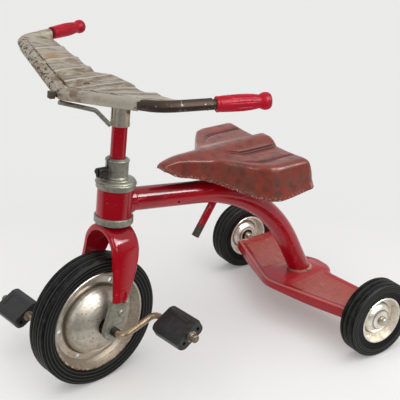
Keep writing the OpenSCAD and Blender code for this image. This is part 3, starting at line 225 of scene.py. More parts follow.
def patches(tree, place, size, start, full, stretch=(1, 1, 1), turn=(0, 0, 0), detail=3.0,
            seed=0.0):
    """A mask of soft-edged patches of about that size in millimetres.

    Real pits, grain and hair scratches are finer than the 2 to 6 mm used for them, which is as
    coarse as they have to be to show."""
    laid = add(tree, "Mapping", {"Vector": place, "Rotation": turn, "Scale": stretch})
    cloud = add(tree, "TexNoise", {"Vector": laid.outputs[0], "W": seed, "Scale": 1 / (size * MM),
                                   "Detail": detail}, noise_dimensions="4D")
    return add(tree, "MapRange", {"Value": cloud.outputs[0], "From Min": start,
                                  "From Max": full}).outputs[0]


def band(tree, value, middle, half, soft):
    """A mask that is full within half of the middle value and fades out over soft."""
    off = add(tree, "Math", {0: value, 1: middle}, operation="SUBTRACT").outputs[0]
    away = add(tree, "Math", {0: off}, operation="ABSOLUTE").outputs[0]
    return add(tree, "MapRange", {"Value": away, "From Min": half + soft,
                                  "From Max": half}).outputs[0]


def where_all(tree, *masks):
    """The product of several masks, or of masks and plain numbers."""
    made = masks[0]
    for mask in masks[1:]:
        made = add(tree, "Math", {0: made, 1: mask}, operation="MULTIPLY").outputs[0]
    return made


def layered(tree, base, *layers):
    """A colour or a number, with others laid over it where their masks say."""
    tinted = isinstance(base, str)
    for mask, over in layers:
        if tinted:
            base = colour(base) if isinstance(base, str) else base
            base = add(tree, "Mix", {0: mask, 6: base, 7: colour(over)},
                       data_type="RGBA").outputs[2]
        else:
            base = add(tree, "Mix", {0: mask, 2: base, 3: over}, data_type="FLOAT").outputs[0]
    return base


def surface(tree, base, rough, height, depth, **fixed):
    """The shader of a finish, with a bump whose full height is depth millimetres."""
    bump = add(tree, "Bump", {"Height": height, "Distance": depth * MM, "Strength": 1.0})
    sockets = {name.replace("_", " "): value for name, value in fixed.items()}
    shader = add(tree, "BsdfPrincipled", {"Base Color": base, "Roughness": rough,
                                          "Normal": bump.outputs[0], **sockets})
    add(tree, "OutputMaterial", {"Surface": shader.outputs[0]})


def paint(finish, *names):
    """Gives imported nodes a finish."""
    for name in names:
        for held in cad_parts[name].material_slots:
            held.material = finish


# Baked enamel: deep, wet-looking crimson that mirrors the windows, with faint orange peel
enamel, tree, place = material("baked_red_enamel")
peel = patches(tree, place, 3, 0.2, 0.8)
shade = patches(tree, place, 110, 0.35, 0.7, seed=2)
scuff = patches(tree, place, 24, 0.5, 0.72, seed=3)
hair = patches(tree, place, 5, 0.62, 0.70, stretch=(0.12, 1.2, 1.2), turn=(0.3, 0.5, 0.2),
               detail=2, seed=9)
chip = patches(tree, place, 7, 0.70, 0.72, detail=4, seed=4)
# the tube's upper side is darker under the seat's nose: partly painted shade of the seat, partly
# wear
SHADE_WEAR_X, SHADE_WEAR_HALF, SHADE_WEAR_FADE = 55, 40, 60  # mm along the tube
SHADE_WEAR_LOW, SHADE_WEAR_HIGH = 335, 352              # mm above the floor
spread = add(tree, "SeparateXYZ", {0: place}).outputs
seat_shade_and_wear = where_all(
    tree, band(tree, spread[0], SHADE_WEAR_X * MM, SHADE_WEAR_HALF * MM, SHADE_WEAR_FADE * MM),
    add(tree, "MapRange", {"Value": spread[2], "From Min": SHADE_WEAR_LOW * MM,
                           "From Max": SHADE_WEAR_HIGH * MM}).outputs[0],
    patches(tree, place, 18, 0.30, 0.6, stretch=(0.3, 1, 1), detail=5, seed=6))
surface(
    tree,
    layered(tree, "B8051D", (shade, "A20419"), (seat_shade_and_wear, "561016"), (hair, "BC303E"),
            (chip, "3A1512")),
    layered(tree, 0.11, (scuff, 0.22), (hair, 0.35), (chip, 0.6)),
    layered(tree, 0.5, (peel, 0.58), (hair, 0.45), (chip, 0.0)), 0.10, IOR=1.5,
    Specular_IOR_Level=0.5)
paint(enamel, "head_tube", "frame_tube", "head_weld", "post_sleeve")

# --- Head cups ------------------------------------------------------------------------------
# Turned steel rings that the head tube's ends are sunk into, zinc plated, gone grey and dull.
# A plain bronze bush sits in each, and the steerer turns in it.

# Dull zinc plate: a cloudy grey with rings from turning, darker stains and fine pits
zinc, tree, place = material("dull_zinc_plate")
cloud = patches(tree, place, 18, 0.3, 0.75, seed=1)
stain = patches(tree, place, 8, 0.5, 0.75, detail=6, seed=5)
ring = patches(tree, place, 9, 0.55, 0.7, stretch=(0.2, 0.2, 3.0), detail=5, seed=8)
pit = patches(tree, place, 2.2, 0.64, 0.74, seed=6)
surface(
    tree,
    layered(tree, "918F83", (cloud, "A5A294"), (ring, "757266"), (stain, "6C675A"),
            (pit, "453C31")),
    layered(tree, 0.40, (cloud, 0.5), (stain, 0.65)),
    layered(tree, 0.5, (ring, 0.42), (stain, 0.35), (pit, 0.1)), 0.15, Metallic=0.6)
paint(zinc, "upper_cup", "lower_cup")

# Bearing bronze: turned and oiled, a brownish yellow with a soft shine
bronze, tree, place = material("bearing_bronze")
cloud = patches(tree, place, 6, 0.3, 0.7)
surface(tree, layered(tree, "7A6440", (cloud, "8F774C")), layered(tree, 0.35, (cloud, 0.5)),
        cloud, 0.05, Metallic=0.9)
paint(bronze, "upper_bush", "lower_bush")

# --- Step -----------------------------------------------------------------------------------
# One steel sheet pressed over the axle, with a raised middle and flanges turned down. Its
# enamel is the frame's, but shoes have rubbed the sunk panels to a dull pink.
MERGE_GAP = 0.004 * MM  # points this close are one
SLIVER = 0.002 * MM     # edges this short are dropped


def welded(name, node, sharp=38, facts=None):
    """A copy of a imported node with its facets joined, smooth but for edges over sharp degrees.

    Each vertex also gets the numbers that facts works out from its place."""
    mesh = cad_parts[node].data.copy()
    mesh.name = name
    shape = bmesh.new()
    shape.from_mesh(mesh)
    bmesh.ops.remove_doubles(shape, verts=shape.verts, dist=MERGE_GAP)
    bmesh.ops.dissolve_degenerate(shape, edges=shape.edges, dist=SLIVER)
    for face in shape.faces:
        face.smooth = True
    for edge in shape.edges:
        edge.smooth = edge.is_manifold and edge.calc_face_angle(0) <= math.radians(sharp)
    rim = [edge for edge in shape.edges if not edge.smooth]
    # how far each point is from a sharp edge, for wear
    tree = kdtree.KDTree(max(1, len(rim) * 2))
    for n, edge in enumerate(rim):
        for k, v in enumerate(edge.verts):
            tree.insert(v.co, 2 * n + k)
    tree.balance()
    near = shape.verts.layers.float.new("from_edge")
    for v in shape.verts:
        v[near] = tree.find(v.co)[2] if rim else 1.0
    if facts:
        keys = list(facts(Vector((0, 0, 0))))
        layers = {key: shape.verts.layers.float.new(key) for key in keys}
        for v in shape.verts:
            for key, value in facts(v.co / MM).items():
                v[layers[key]] = value
    shape.to_mesh(mesh)
    shape.free()
    # the facets' own normals go, since they would hide the smooth ones
    for key in ("custom_normal", "sharp_face"):
        if key in mesh.attributes:
            mesh.attributes.remove(mesh.attributes[key])
    made = bpy.data.objects.new(name, mesh)
    scene.collection.objects.link(made)
    return made


def stands_for(made, finish, node, body):
    """Gives a welded copy its finish and the place of the node it stands for."""
    made.data.materials.clear()
    made.data.materials.append(finish)
    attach(made, body)
    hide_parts(node)


STEP_AXLE_X = -278.0  # the rear axle, mm from the middle
STEP_NOSE = 106.0     # where the front edge would come to a point, mm ahead of the axle
STEP_NOSE_ROUND = 14.0  # how far from the middle line that point is rounded
STEP_SWEEP = 0.33     # how fast that edge runs back
STEP_TOP = 87.0       # mm above the floor


def step_facts(p):
    """Place behind the step's front edge and above its plain top, both in millimetres."""
    front = STEP_AXLE_X + STEP_NOSE - STEP_SWEEP * math.hypot(p.y, STEP_NOSE_ROUND)
    return {"behind_edge": front - p.x, "above_top": p.z - STEP_TOP}


# Rubbed enamel: matt, chalky pink-red on the panels, the old gloss on the raised parts
step_paint, tree, place = material("rubbed_red_enamel")
behind, raised = (
    add(tree, "Attribute", attribute_name=key).outputs["Fac"]
    for key in ("behind_edge", "above_top"))
# painted highlight: a pale pink line along the bead behind the front edge
bead_highlight = band(tree, behind, 5.0, 1.0, 2.0)
up = add(tree, "SeparateXYZ", {0: add(tree, "NewGeometry").outputs["Normal"]}).outputs[2]
top = add(tree, "MapRange", {"Value": up, "From Min": 0.6, "From Max": 0.97}).outputs[0]
sunk = add(tree, "MapRange", {"Value": raised, "From Min": 0.3, "From Max": -0.7}).outputs[0]
panel = where_all(tree, top, sunk)
fade = patches(tree, place, 55, 0.3, 0.7, seed=1)
dust = patches(tree, place, 9, 0.45, 0.8, detail=7, seed=7)
edge_line = where_all(tree, band(tree, behind, 9.5, 1.2, 1.6), top)
chip = patches(tree, place, 3.5, 0.69, 0.71, detail=4, seed=8)
rub = patches(tree, place, 6, 0.58, 0.70, stretch=(1.0, 0.2, 1.0), detail=4, seed=3)
surface(
    tree,
    layered(tree, "B02C32", (panel, "AE4C42"), (where_all(tree, panel, fade), "B65C50"),
            (where_all(tree, panel, dust), "8E4238"), (where_all(tree, panel, rub), "B9736A"),
            (bead_highlight, "CC6A66"), (edge_line, "6E2420"), (chip, "5B2E28")),
    layered(tree, 0.17, (panel, 0.44), (dust, 0.4), (chip, 0.7)),
    layered(tree, 0.5, (dust, 0.6), (chip, 0.1)), 0.12, IOR=1.5, Specular_IOR_Level=0.35)
step = welded("step", "step_plate", facts=step_facts)
stands_for(step, step_paint, "step_plate", "frame")

# Weld bead: bare, rippled metal, pale against the red, with soot behind
weld, tree, place = material("pale_weld_bead")
ripple = patches(tree, place, 2.5, 0.35, 0.65, seed=2)
soot = patches(tree, place, 22, 0.50, 0.62, seed=5)
surface(tree, layered(tree, "CDA78C", (ripple, "B37D68"), (soot, "6B2A22")),
        layered(tree, 0.35, (ripple, 0.5)), ripple, 0.4, Metallic=0.2)
paint(weld, "step_weld")

# --- Rear axle ------------------------------------------------------------------------------
# A plain steel rod through the step's flanges, on which the rear wheels turn. Washers space
# them, and a domed cap pushed on at each end holds them.

# Plain bright steel: drawn and turned, pale and fairly smooth, with fine scratches and rust
steel, tree, place = material("plain_bright_steel")
cloud = patches(tree, place, 9, 0.3, 0.75, seed=3)
scratch = patches(tree, place, 3, 0.5, 0.75, detail=6, seed=6)
rust = patches(tree, place, 4, 0.64, 0.72, detail=6, seed=4)
surface(
    tree,
    layered(tree, "CDC4B4", (cloud, "B3AA9B"), (scratch, "A0978A"), (rust, "57432F")),
    layered(tree, 0.26, (cloud, 0.36), (scratch, 0.42), (rust, 0.75)),
    layered(tree, 0.5, (scratch, 0.42), (rust, 0.2)), 0.12, Metallic=0.85)
paint(steel, "rear_axle", "axle_washers", "axle_caps")

# --- Seat and its post ------------------------------------------------------------------------
# A pan pressed from one sheet, with a nose, two wings and two pairs of flutes, on a rod that
# comes out under the frame tube. Its maroon paint is worn to pink where it is sat on.
SEAT_NOSE_X = 80.0     # mm from the middle, as the post's place below
SEAT_LENGTH = 263.0
SEAT_HALF = 130.0      # half width over the wings, to the bend of the rim
NOSE_HALF = 12.0       # half width at the very nose, mm
NOSE_SWELL = 28.0      # and what it gains by the middle of the seat
WINGS = (0.36, 0.66)   # shares of the length where the wings start and are full
VALLEY_Y = -36.0       # the painted reflection in the valley on the far side, mm
SEAT_FLUTES = (0.215, 0.26, 0.64, 0.685)  # shares of the half width
SEAT_CROSS = Vector((-52.0, 0.0, 316.8))  # where the post meets the frame tube
POST_TILT = math.radians(33.0)
SEAT_TURN = math.radians(2.0)
SEAT_AXES = (Matrix.Rotation(-POST_TILT, 3, "Y") @ Matrix.Rotation(SEAT_TURN, 3, "Z")
             @ Matrix.Rotation(POST_TILT, 3, "Y")).transposed()


def eased(a, b, x):
    """0 before a, 1 after b, with a smooth step between."""
    t = max(0.0, min(1.0, (x - a) / (b - a)))
    return t * t * (3 - 2 * t)


def seat_facts(p):
    """Share of the seat's length from its nose, share of its half width, and the side."""
    q = SEAT_AXES @ (p - SEAT_CROSS) + SEAT_CROSS
    u = (SEAT_NOSE_X - q.x) / SEAT_LENGTH
    slim = NOSE_HALF + NOSE_SWELL * eased(0, 0.5, u)
    half = slim + (SEAT_HALF - slim) * eased(*WINGS, u)
    return {"seat_along": u, "seat_out": abs(q.y) / half, "seat_side": q.y}


def where_any(tree, *masks):
    """The greatest of several masks."""
    made = masks[0]
    for mask in masks[1:]:
        made = add(tree, "Math", {0: made, 1: mask}, operation="MAXIMUM").outputs[0]
    return made


# Worn paint: brown maroon with a low waxy gloss, redder where rubbed, chipped at the rim
seat_paint, tree, place = material("worn_maroon_paint")
along, out, side, rim_gap = (
    add(tree, "Attribute", attribute_name=key).outputs["Fac"]
    for key in ("seat_along", "seat_out", "seat_side", "from_edge"))
behind_nose = add(tree, "MapRange", {"Value": along, "From Min": 0.46,
                                     "From Max": 0.56}).outputs[0]
grain = patches(tree, place, 3, 0.3, 0.8, detail=5, seed=2)
fade = patches(tree, place, 60, 0.42, 0.6, seed=1)
brown = patches(tree, place, 34, 0.42, 0.62, detail=5, seed=5)
grime = patches(tree, place, 12, 0.46, 0.72, detail=6, seed=7)
broken = patches(tree, place, 9, 0.10, 0.30, detail=4, seed=12)
ahead_of_end = add(tree, "MapRange", {"Value": along, "From Min": 0.93,
                                      "From Max": 0.90}).outputs[0]
flutes = where_all(
    tree, where_any(tree, *(band(tree, out, at, 0.009, 0.006) for at in SEAT_FLUTES)),
    behind_nose, ahead_of_end, broken)
rear_end = add(tree, "MapRange", {"Value": along, "From Min": 0.93,
                                  "From Max": 0.975}).outputs[0]
edge_gap = add(tree, "MapRange", {"Value": rim_gap, "From Min": 0.011,
                                  "From Max": 0.001}).outputs[0]
fleck = patches(tree, place, 2.8, 0.56, 0.61, detail=3, seed=8)
fleck_zone = where_any(
    tree, edge_gap,
    where_all(tree, band(tree, along, 0.985, 0.02, 0.03),
              patches(tree, place, 16, 0.48, 0.6, seed=3)))
facing_up = add(tree, "SeparateXYZ", {0: add(tree, "NewGeometry").outputs["Normal"]}).outputs[2]
flank = add(tree, "MapRange", {"Value": facing_up, "From Min": 0.75, "From Max": 0.5}).outputs[0]
flecks = where_all(tree, fleck, fleck_zone, flank)
corner_y = add(tree, "MapRange", {"Value": out, "From Min": 0.93, "From Max": 0.985}).outputs[0]
corrosion = where_all(tree, band(tree, along, 0.655, 0.006, 0.022), corner_y,
                      patches(tree, place, 7, 0.40, 0.62, detail=5, seed=14))
# painted reflection: a pale grey-beige patch in the valley on the far side
painted_valley_reflection = where_all(
    tree, band(tree, side, VALLEY_Y, 4.0, 6.0), band(tree, along, 0.60, 0.20, 0.10),
    patches(tree, place, 26, 0.30, 0.5, seed=6))
surface(
    tree,
    layered(tree, "8C392A", (fade, "AC443A"), (brown, "764632"), (grain, "8E3F32"),
            (grime, "603026"), (where_all(tree, rear_end, fade), "AA453B"),
            (painted_valley_reflection, "9C9484"), (flutes, "1E0E0C"), (corrosion, "4A2A22"),
            (flecks, "C6B4A4")),
    layered(tree, 0.25, (brown, 0.32), (grime, 0.40), (painted_valley_reflection, 0.3), (corrosion, 0.7)),
    layered(tree, 0.5, (grain, 0.54), (grime, 0.58), (corrosion, 0.2), (flecks, 0.3)),
    0.14, IOR=1.5, Specular_IOR_Level=0.45)
pan = welded("pan", "seat_pan", sharp=62, facts=seat_facts)
stands_for(pan, seat_paint, "seat_pan", "seat")
paint(enamel, "seat_bracket")

# Seat post: enamel above, scratched by its clamp, and bare brown steel where it was cut off
POST_BARE_Z = 257.0  # where the paint ends, mm above the floor
POST_RAGGED = 14.0   # how far that end runs up and down
post_finish, tree, place = material("scratched_post_enamel")
height_up = add(tree, "SeparateXYZ", {0: place}).outputs[2]
ragged = patches(tree, place, 8, 0.0, 1.0, detail=4, seed=3)
line = add(tree, "Math", {0: where_all(tree, ragged, POST_RAGGED * MM), 1: height_up},
           operation="ADD").outputs[0]
highest_end = POST_BARE_Z + POST_RAGGED / 2
bare = add(tree, "MapRange", {"Value": line, "From Min": (highest_end + 2) * MM,
                              "From Max": highest_end * MM}).outputs[0]
scratch = patches(tree, place, 3, 0.62, 0.72, stretch=(1.6, 1.0, 0.15), turn=(0, -POST_TILT, 0),
                  detail=4, seed=5)
brown = patches(tree, place, 6, 0.35, 0.65, detail=5, seed=6)
surface(
    tree,
    layered(tree, "A8091E", (scratch, "B4525E"), (bare, "54463A"),
            (where_all(tree, bare, brown), "3E3229")),
    layered(tree, 0.16, (scratch, 0.4), (bare, 0.55)),
    layered(tree, 0.6, (scratch, 0.4), (bare, 0.3), (where_all(tree, bare, brown), 0.2)), 0.12,
    IOR=1.5, Specular_IOR_Level=0.3)
paint(post_finish, "seat_post")

# Rusted steel: bare fasteners, dark and rough, with brown blooms
rusty, tree, place = material("rusted_steel")
cloud = patches(tree, place, 8, 0.3, 0.7, seed=3)
rust = patches(tree, place, 4, 0.45, 0.65, detail=5, seed=4)
surface(
    tree,
    layered(tree, "4A4038", (cloud, "5C4C40"), (rust, "3A2419")),
    layered(tree, 0.42, (rust, 0.8)),
    layered(tree, 0.5, (rust, 0.7)), 0.2, Metallic=0.5)
paint(rusty, "post_set_bolt", "seat_rivets")

# --- Fork, head bearings and clamp ------------------------------------------------------------
# One steel channel pressed over an arch, its feet riveted to flanged plates bored for the
# crank. The steerer is a tube, and a split collar with two ears clamps the stem in it.
blades = welded("blades", "fork_blades")
stands_for(blades, enamel, "fork_blades", "fork")
paint(enamel, "steerer")
paint(zinc, "dropout_left", "dropout_right", "dropout_rivets")

# Greased zinc plate: the collar's grey, black about the pinch bolt with old grease and painted
# shade
greasy_shaded_zinc, tree, place = material("greasy_shaded_zinc_plate")
bolt_box = [Vector(corner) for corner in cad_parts["pinch_bolt"].bound_box]
bolt_place = sum(bolt_box, Vector()) / len(bolt_box)
bolt_gap = add(tree, "VectorMath", {0: place, 1: bolt_place},
               operation="DISTANCE").outputs["Value"]
# old grease and painted shade: the collar darkened about the pinch bolt
grease_and_shade = band(tree, bolt_gap, 0.0, 11 * MM, 7 * MM)
cloud = patches(tree, place, 18, 0.3, 0.75, seed=1)
stain = patches(tree, place, 8, 0.5, 0.75, detail=6, seed=5)
surface(
    tree,
    layered(tree, "8A887C", (cloud, "9C9A8C"), (stain, "6C675A"), (grease_and_shade, "2A2622")),
    layered(tree, 0.40, (cloud, 0.5), (stain, 0.65), (grease_and_shade, 0.5)),
    layered(tree, 0.5, (stain, 0.35)), 0.15, Metallic=0.6)
paint(greasy_shaded_zinc, "clamp_collar")

# Oiled black steel: fasteners that have gone nearly black, with a brown bloom
black_steel, tree, place = material("oiled_black_steel")
bloom = patches(tree, place, 5, 0.45, 0.7, detail=4, seed=2)
surface(tree, layered(tree, "26221F", (bloom, "4A3A2E")), layered(tree, 0.34, (bloom, 0.65)),
        layered(tree, 0.5, (bloom, 0.65)), 0.1, Metallic=0.5)
paint(black_steel, "pinch_bolt", "pinch_nut", "crank_bushes")

# --- Handlebar ------------------------------------------------------------------------------
# A bent tube under one pressed sheet, its socket clamped on the stem, a bolt at the apex and
# a brace behind it. The sheet was nickel plated and has weathered to a pale brownish grey.
HEAD_LEAN = math.radians(-6.4)
BAR_TURN = math.radians(2.5)
BAR_FOOT = Vector((198.193, 0.0, 123.888))  # a point low on the steering axis
BAR_AXES = Matrix.Rotation(HEAD_LEAN, 3, "Y") @ Matrix.Rotation(BAR_TURN, 3, "Z")
BAR_REACH = 118.0   # the bar's middle, ahead of the steering axis
BAR_HALF = 244.0    # from the middle to a bend
BAR_SWEEP = 36.0    # how far the bends are behind the middle
APEX_ROUND = 23.0   # square of the radius that softens the middle
LOBE_HALF = 57.0    # half width of the lobe over the stem
LOBE_DEPTH = 18.0
REAR_IN, REAR_OUT = 25.0, 7.2  # rear edge beside the lobe and at the grip, ahead of the axis
REAR_RUN = 202.5    # from the one to the other along the bar
RIB_SPREAD = 0.17   # how much farther out the ribs are at the rear edge
RIBS = (22, 66, 114, 173)
TROUGH = 8.5        # from a rib's crest to the shaded foot beside it
BARE_FROM, BARE_FULL = 214.0, 242.0  # where the near arm's bare metal starts, along the bar
BARE_RAGGED = 34.0
HOLE_RING_R = 4.2   # the dark ring round the screw hole
WING_HOLE = Vector((218.027, 3.053, 574.445))


def wing_facts(p):
    """Place along the bar, share of the way from its front to the rear edge, and the side."""
    q = BAR_AXES.transposed() @ (p - BAR_FOOT)
    y = abs(q.y)
    front = BAR_REACH - BAR_SWEEP * math.sqrt(y * y + APEX_ROUND) / BAR_HALF
    if y < LOBE_HALF:
        rear = REAR_IN - LOBE_DEPTH * math.cos(math.radians(y / LOBE_HALF * 90)) ** 0.7
    else:
        rear = REAR_IN + (REAR_OUT - REAR_IN) * (y - LOBE_HALF) / REAR_RUN
    k = (front - q.x) / (front - rear)
    station = y / (1 + RIB_SPREAD * max(0.0, min(1.0, k)))
    return {"wing_station": station, "wing_back": k, "wing_side": q.y}


# Weathered nickel: a soft grey-beige sheen with streaks, painted highlights and shade along the
# ribs, flaking brown at the roll
nickel_sheet, tree, place = material("weathered_nickel_sheet")
station, back, side = (
    add(tree, "Attribute", attribute_name=key).outputs["Fac"]
    for key in ("wing_station", "wing_back", "wing_side"))
on_top = add(tree, "MapRange", {"Value": back, "From Min": 0.04, "From Max": 0.10}).outputs[0]
shade_patches = patches(tree, place, 14, 0.32, 0.6, detail=5, seed=4)
# painted highlight along the top of each rib, and painted shade at the foot beside it
crest_highlight = where_all(
    tree, where_any(tree, *(band(tree, station, rib, 0.6, 2.6) for rib in RIBS)), on_top)
shade_line = where_all(
    tree, where_any(tree, *(band(tree, station, rib + TROUGH, 0.8, 3.2) for rib in RIBS)),
    on_top, shade_patches)
cloud = patches(tree, place, 34, 0.3, 0.7, seed=1)
streak = patches(tree, place, 9, 0.50, 0.66, stretch=(0.16, 1.4, 1), turn=(0, 0, 0.05), detail=6,
                 seed=2)
fine = patches(tree, place, 4, 0.50, 0.75, stretch=(0.2, 1.5, 1), detail=6, seed=11)
flake = patches(tree, place, 5, 0.50, 0.58, detail=6, seed=3)
# the near arm is worn bare, from a ragged edge near the bend out to the grip
near_side = add(tree, "MapRange", {"Value": side, "From Min": 60.0, "From Max": 90.0}).outputs[0]
ragged = patches(tree, place, 12, 0.0, 1.0, detail=5, seed=17)
along_arm = add(tree, "Math", {0: station, 1: where_all(tree, ragged, BARE_RAGGED)},
                operation="ADD").outputs[0]
bare_reach = add(tree, "MapRange", {"Value": along_arm, "From Min": BARE_FROM,
                                    "From Max": BARE_FULL, "To Min": -0.2,
                                    "To Max": 1.2}).outputs[0]
bare_over = add(tree, "Math", {0: bare_reach, 1: back}, operation="SUBTRACT").outputs[0]
front_bare = where_all(
    tree, near_side, patches(tree, place, 6, 0.26, 0.38, detail=5, seed=19),
    add(tree, "MapRange", {"Value": bare_over, "From Min": 0.0, "From Max": 0.22}).outputs[0])
# the far arm's roll and the fold behind it flake brown
far_side = add(tree, "MapRange", {"Value": side, "From Min": 10.0, "From Max": -25.0}).outputs[0]
front_roll = add(tree, "MapRange", {"Value": back, "From Min": 0.10, "From Max": 0.0}).outputs[0]
apex = band(tree, station, 0.0, 9.0, 12.0)
fold_line = where_all(tree, band(tree, back, 0.115, 0.012, 0.02), band(tree, station, 90, 78, 12),
                      patches(tree, place, 5, 0.36, 0.50, stretch=(1, 0.35, 1), detail=5, seed=6))
along_fold = where_all(tree, band(tree, back, 0.085, 0.045, 0.04),
                       patches(tree, place, 24, 0.36, 0.5, seed=23))
flaking = where_any(
    tree, where_all(tree, far_side, band(tree, station, 118, 105, 20)),
    where_all(tree, apex, 0.9))
flaking = where_any(tree, where_all(tree, flaking, front_roll), along_fold)
flaking = where_all(tree, flake, flaking)
tarnish = where_all(tree, band(tree, station, 40, 40, 60),
                    patches(tree, place, 16, 0.44, 0.62, detail=6, seed=27))
# the screw hole in the middle: a dark worn ring with a brown stain about it
from_hole = add(tree, "VectorMath", {0: place, 1: WING_HOLE * MM},
                operation="DISTANCE").outputs["Value"]
hole_ring = band(tree, from_hole, HOLE_RING_R * MM, 1.3 * MM, 1.2 * MM)
hole_stain = where_all(tree, band(tree, from_hole, 0.0, 6 * MM, 12 * MM), fine)
specks = patches(tree, place, 3.2, 0.64, 0.69, detail=4, seed=13)
rust_spot = where_all(tree, band(tree, station, 133, 8, 14), band(tree, back, 0.42, 0.10, 0.18),
                      far_side, patches(tree, place, 12, 0.3, 0.6, seed=21))
surface(
    tree,
    layered(tree, "B3AA98", (cloud, "C0B7A5"), (fine, "9E9482"), (streak, "837461"),
            (front_roll, "B2AB9A"), (tarnish, "87725A"), (hole_stain, "7A6650"),
            (hole_ring, "3A2E26"), (rust_spot, "B08248"), (shade_line, "7E7262"),
            (crest_highlight, "D6CEBE"), (specks, "574634"), (front_bare, "46382F"),
            (fold_line, "3B2A20"), (flaking, "5E4A36")),
    layered(tree, 0.42, (cloud, 0.50), (streak, 0.54), (crest_highlight, 0.36), (front_bare, 0.58),
            (fold_line, 0.8), (flaking, 0.8)),
    layered(tree, 0.5, (streak, 0.44), (crest_highlight, 0.58), (shade_line, 0.38), (fold_line, 0.15),
            (flaking, 0.25)), 0.22, Metallic=0.7)
wing = welded("wing", "handlebar_wing", facts=wing_facts)
stands_for(wing, nickel_sheet, "handlebar_wing", "handlebar")
paint(enamel, "stem")

# Spotted nickel: the same plate on the thick pieces, with rust spots that lift it
nickel, tree, place = material("spotted_nickel")
cloud = patches(tree, place, 22, 0.3, 0.7, seed=1)
scratch = patches(tree, place, 4, 0.5, 0.72, detail=6, seed=2)
SOCKET_RUST = Vector((-9, 13, -8)) * MM  # the worst of it, from the socket's middle
socket_box = [Vector(corner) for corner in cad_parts["stem_socket"].bound_box]
rust_place = sum(socket_box, Vector()) / len(socket_box) + SOCKET_RUST
rust_gap = add(tree, "VectorMath", {0: place, 1: rust_place},
               operation="DISTANCE").outputs["Value"]
rust = where_any(
    tree, patches(tree, place, 9, 0.60, 0.66, detail=6, seed=3),
    where_all(tree, band(tree, rust_gap, 0.0, 8 * MM, 6 * MM),
              patches(tree, place, 6, 0.34, 0.46, detail=5, seed=5)))
surface(
    tree,
    layered(tree, "B8AF9E", (cloud, "CBC3B2"), (scratch, "978D7D"), (rust, "5E4029")),
    layered(tree, 0.30, (cloud, 0.36), (scratch, 0.45), (rust, 0.8)),
    layered(tree, 0.5, (scratch, 0.44), (rust, 0.2)), 0.18, Metallic=0.65)
paint(nickel, "stem_socket")

# Brown bare tube: nickel long gone, a smooth dark brown skin with a few lighter flakes left
brown_tube, tree, place = material("brown_bare_tube")
cloud = patches(tree, place, 10, 0.3, 0.7, detail=5, seed=3)
flake = patches(tree, place, 5, 0.60, 0.66, stretch=(1, 0.4, 1), detail=5, seed=4)
surface(
    tree,
    layered(tree, "33261F", (cloud, "43342B"), (flake, "7E7264")),
    layered(tree, 0.42, (cloud, 0.5), (flake, 0.45)),
    layered(tree, 0.5, (cloud, 0.42), (flake, 0.62)), 0.15, IOR=1.5,
    Specular_IOR_Level=0.25)
paint(brown_tube, "handlebar_tube")
paint(zinc, "brace_rod")
paint(rusty, "apex_bolt", "apex_nut")

# Moulded grips: bright red soft plastic with fine flutes
grip_plastic, tree, place = material("red_grip_plastic")
cloud = patches(tree, place, 20, 0.35, 0.7, seed=1)
surface(tree, layered(tree, "C20C2A", (cloud, "B00A24")), layered(tree, 0.34, (cloud, 0.42)),
        cloud, 0.05, IOR=1.46, Specular_IOR_Level=0.2)
paint(grip_plastic, "grip_left", "grip_right")

# --- Front wheel ------------------------------------------------------------------------------
# Two pressed steel discs back to back on a hub pinned to the crank, with a solid rubber tyre
# gripped between their rims. Washers and push-on caps hold the pedals on the crank's ends.
WHEEL_MIDDLE = Vector((228.560, 5.223, 127.294)) * MM
WHEEL_STEER = math.radians(9.7)
WHEEL_TURN = (Matrix.Rotation(HEAD_LEAN, 3, "Y")
              @ Matrix.Rotation(WHEEL_STEER, 3, "Z")).to_euler()
DOME_R = 69.0  # radius of the dome where it meets its flange
RIM_R = 99.0   # the lip that grips the tyre
FRONT_TREAD_R = 127.0


def from_axle(tree, place, middle, turn):
    """Distance from the wheel's axle in millimetres, height above it and place along it."""
    laid = add(tree, "Mapping", {"Vector": place, "Location": middle, "Rotation": turn,
                                 "Scale": (MM, MM, MM)}, vector_type="TEXTURE").outputs[0]
    flat = add(tree, "VectorMath", {0: laid, 1: (1, 0, 1)}, operation="MULTIPLY").outputs[0]
    radius = add(tree, "VectorMath", {0: flat}, operation="LENGTH").outputs["Value"]
    parts = add(tree, "SeparateXYZ", {0: laid}).outputs
    return radius, parts[2], parts[1]


# Dulled nickel disc: satin grey, a painted shadow line at the dome's foot, fine dark pitting,
# brown where water stood
disc_nickel, tree, place = material("dulled_nickel_disc")
radius, rise, _ = from_axle(tree, place, WHEEL_MIDDLE, WHEEL_TURN)
cloud = patches(tree, place, 26, 0.3, 0.7, detail=4, seed=1)
smear = patches(tree, place, 11, 0.45, 0.75, detail=7, seed=2)
pit = patches(tree, place, 2.6, 0.62, 0.68, detail=4, seed=3)
low = add(tree, "MapRange", {"Value": rise, "From Min": 10.0, "From Max": -75.0}).outputs[0]
stand = where_all(tree, low, patches(tree, place, 30, 0.25, 0.6, detail=4, seed=5), 0.6)
# painted shadow: a dark line where the dome meets its flange
dome_foot_shade = band(tree, radius, DOME_R + 0.8, 0.9, 2.2)
lip = band(tree, radius, RIM_R - 1.5, 1.5, 3.0)
rusty_lip = where_all(tree, lip, low, patches(tree, place, 8, 0.35, 0.55, detail=5, seed=7))
surface(
    tree,
    layered(tree, "BEB7AA", (cloud, "CAC3B6"), (smear, "A0988A"), (stand, "B8A48F"),
            (dome_foot_shade, "6A5D4F"), (pit, "453A2F"), (rusty_lip, "6E4A33")),
    layered(tree, 0.37, (cloud, 0.42), (smear, 0.50), (pit, 0.8), (rusty_lip, 0.75)),
    layered(tree, 0.5, (smear, 0.45), (pit, 0.1), (rusty_lip, 0.35)), 0.16, Metallic=0.85)
paint(disc_nickel, "front_disc_left", "front_disc_right")

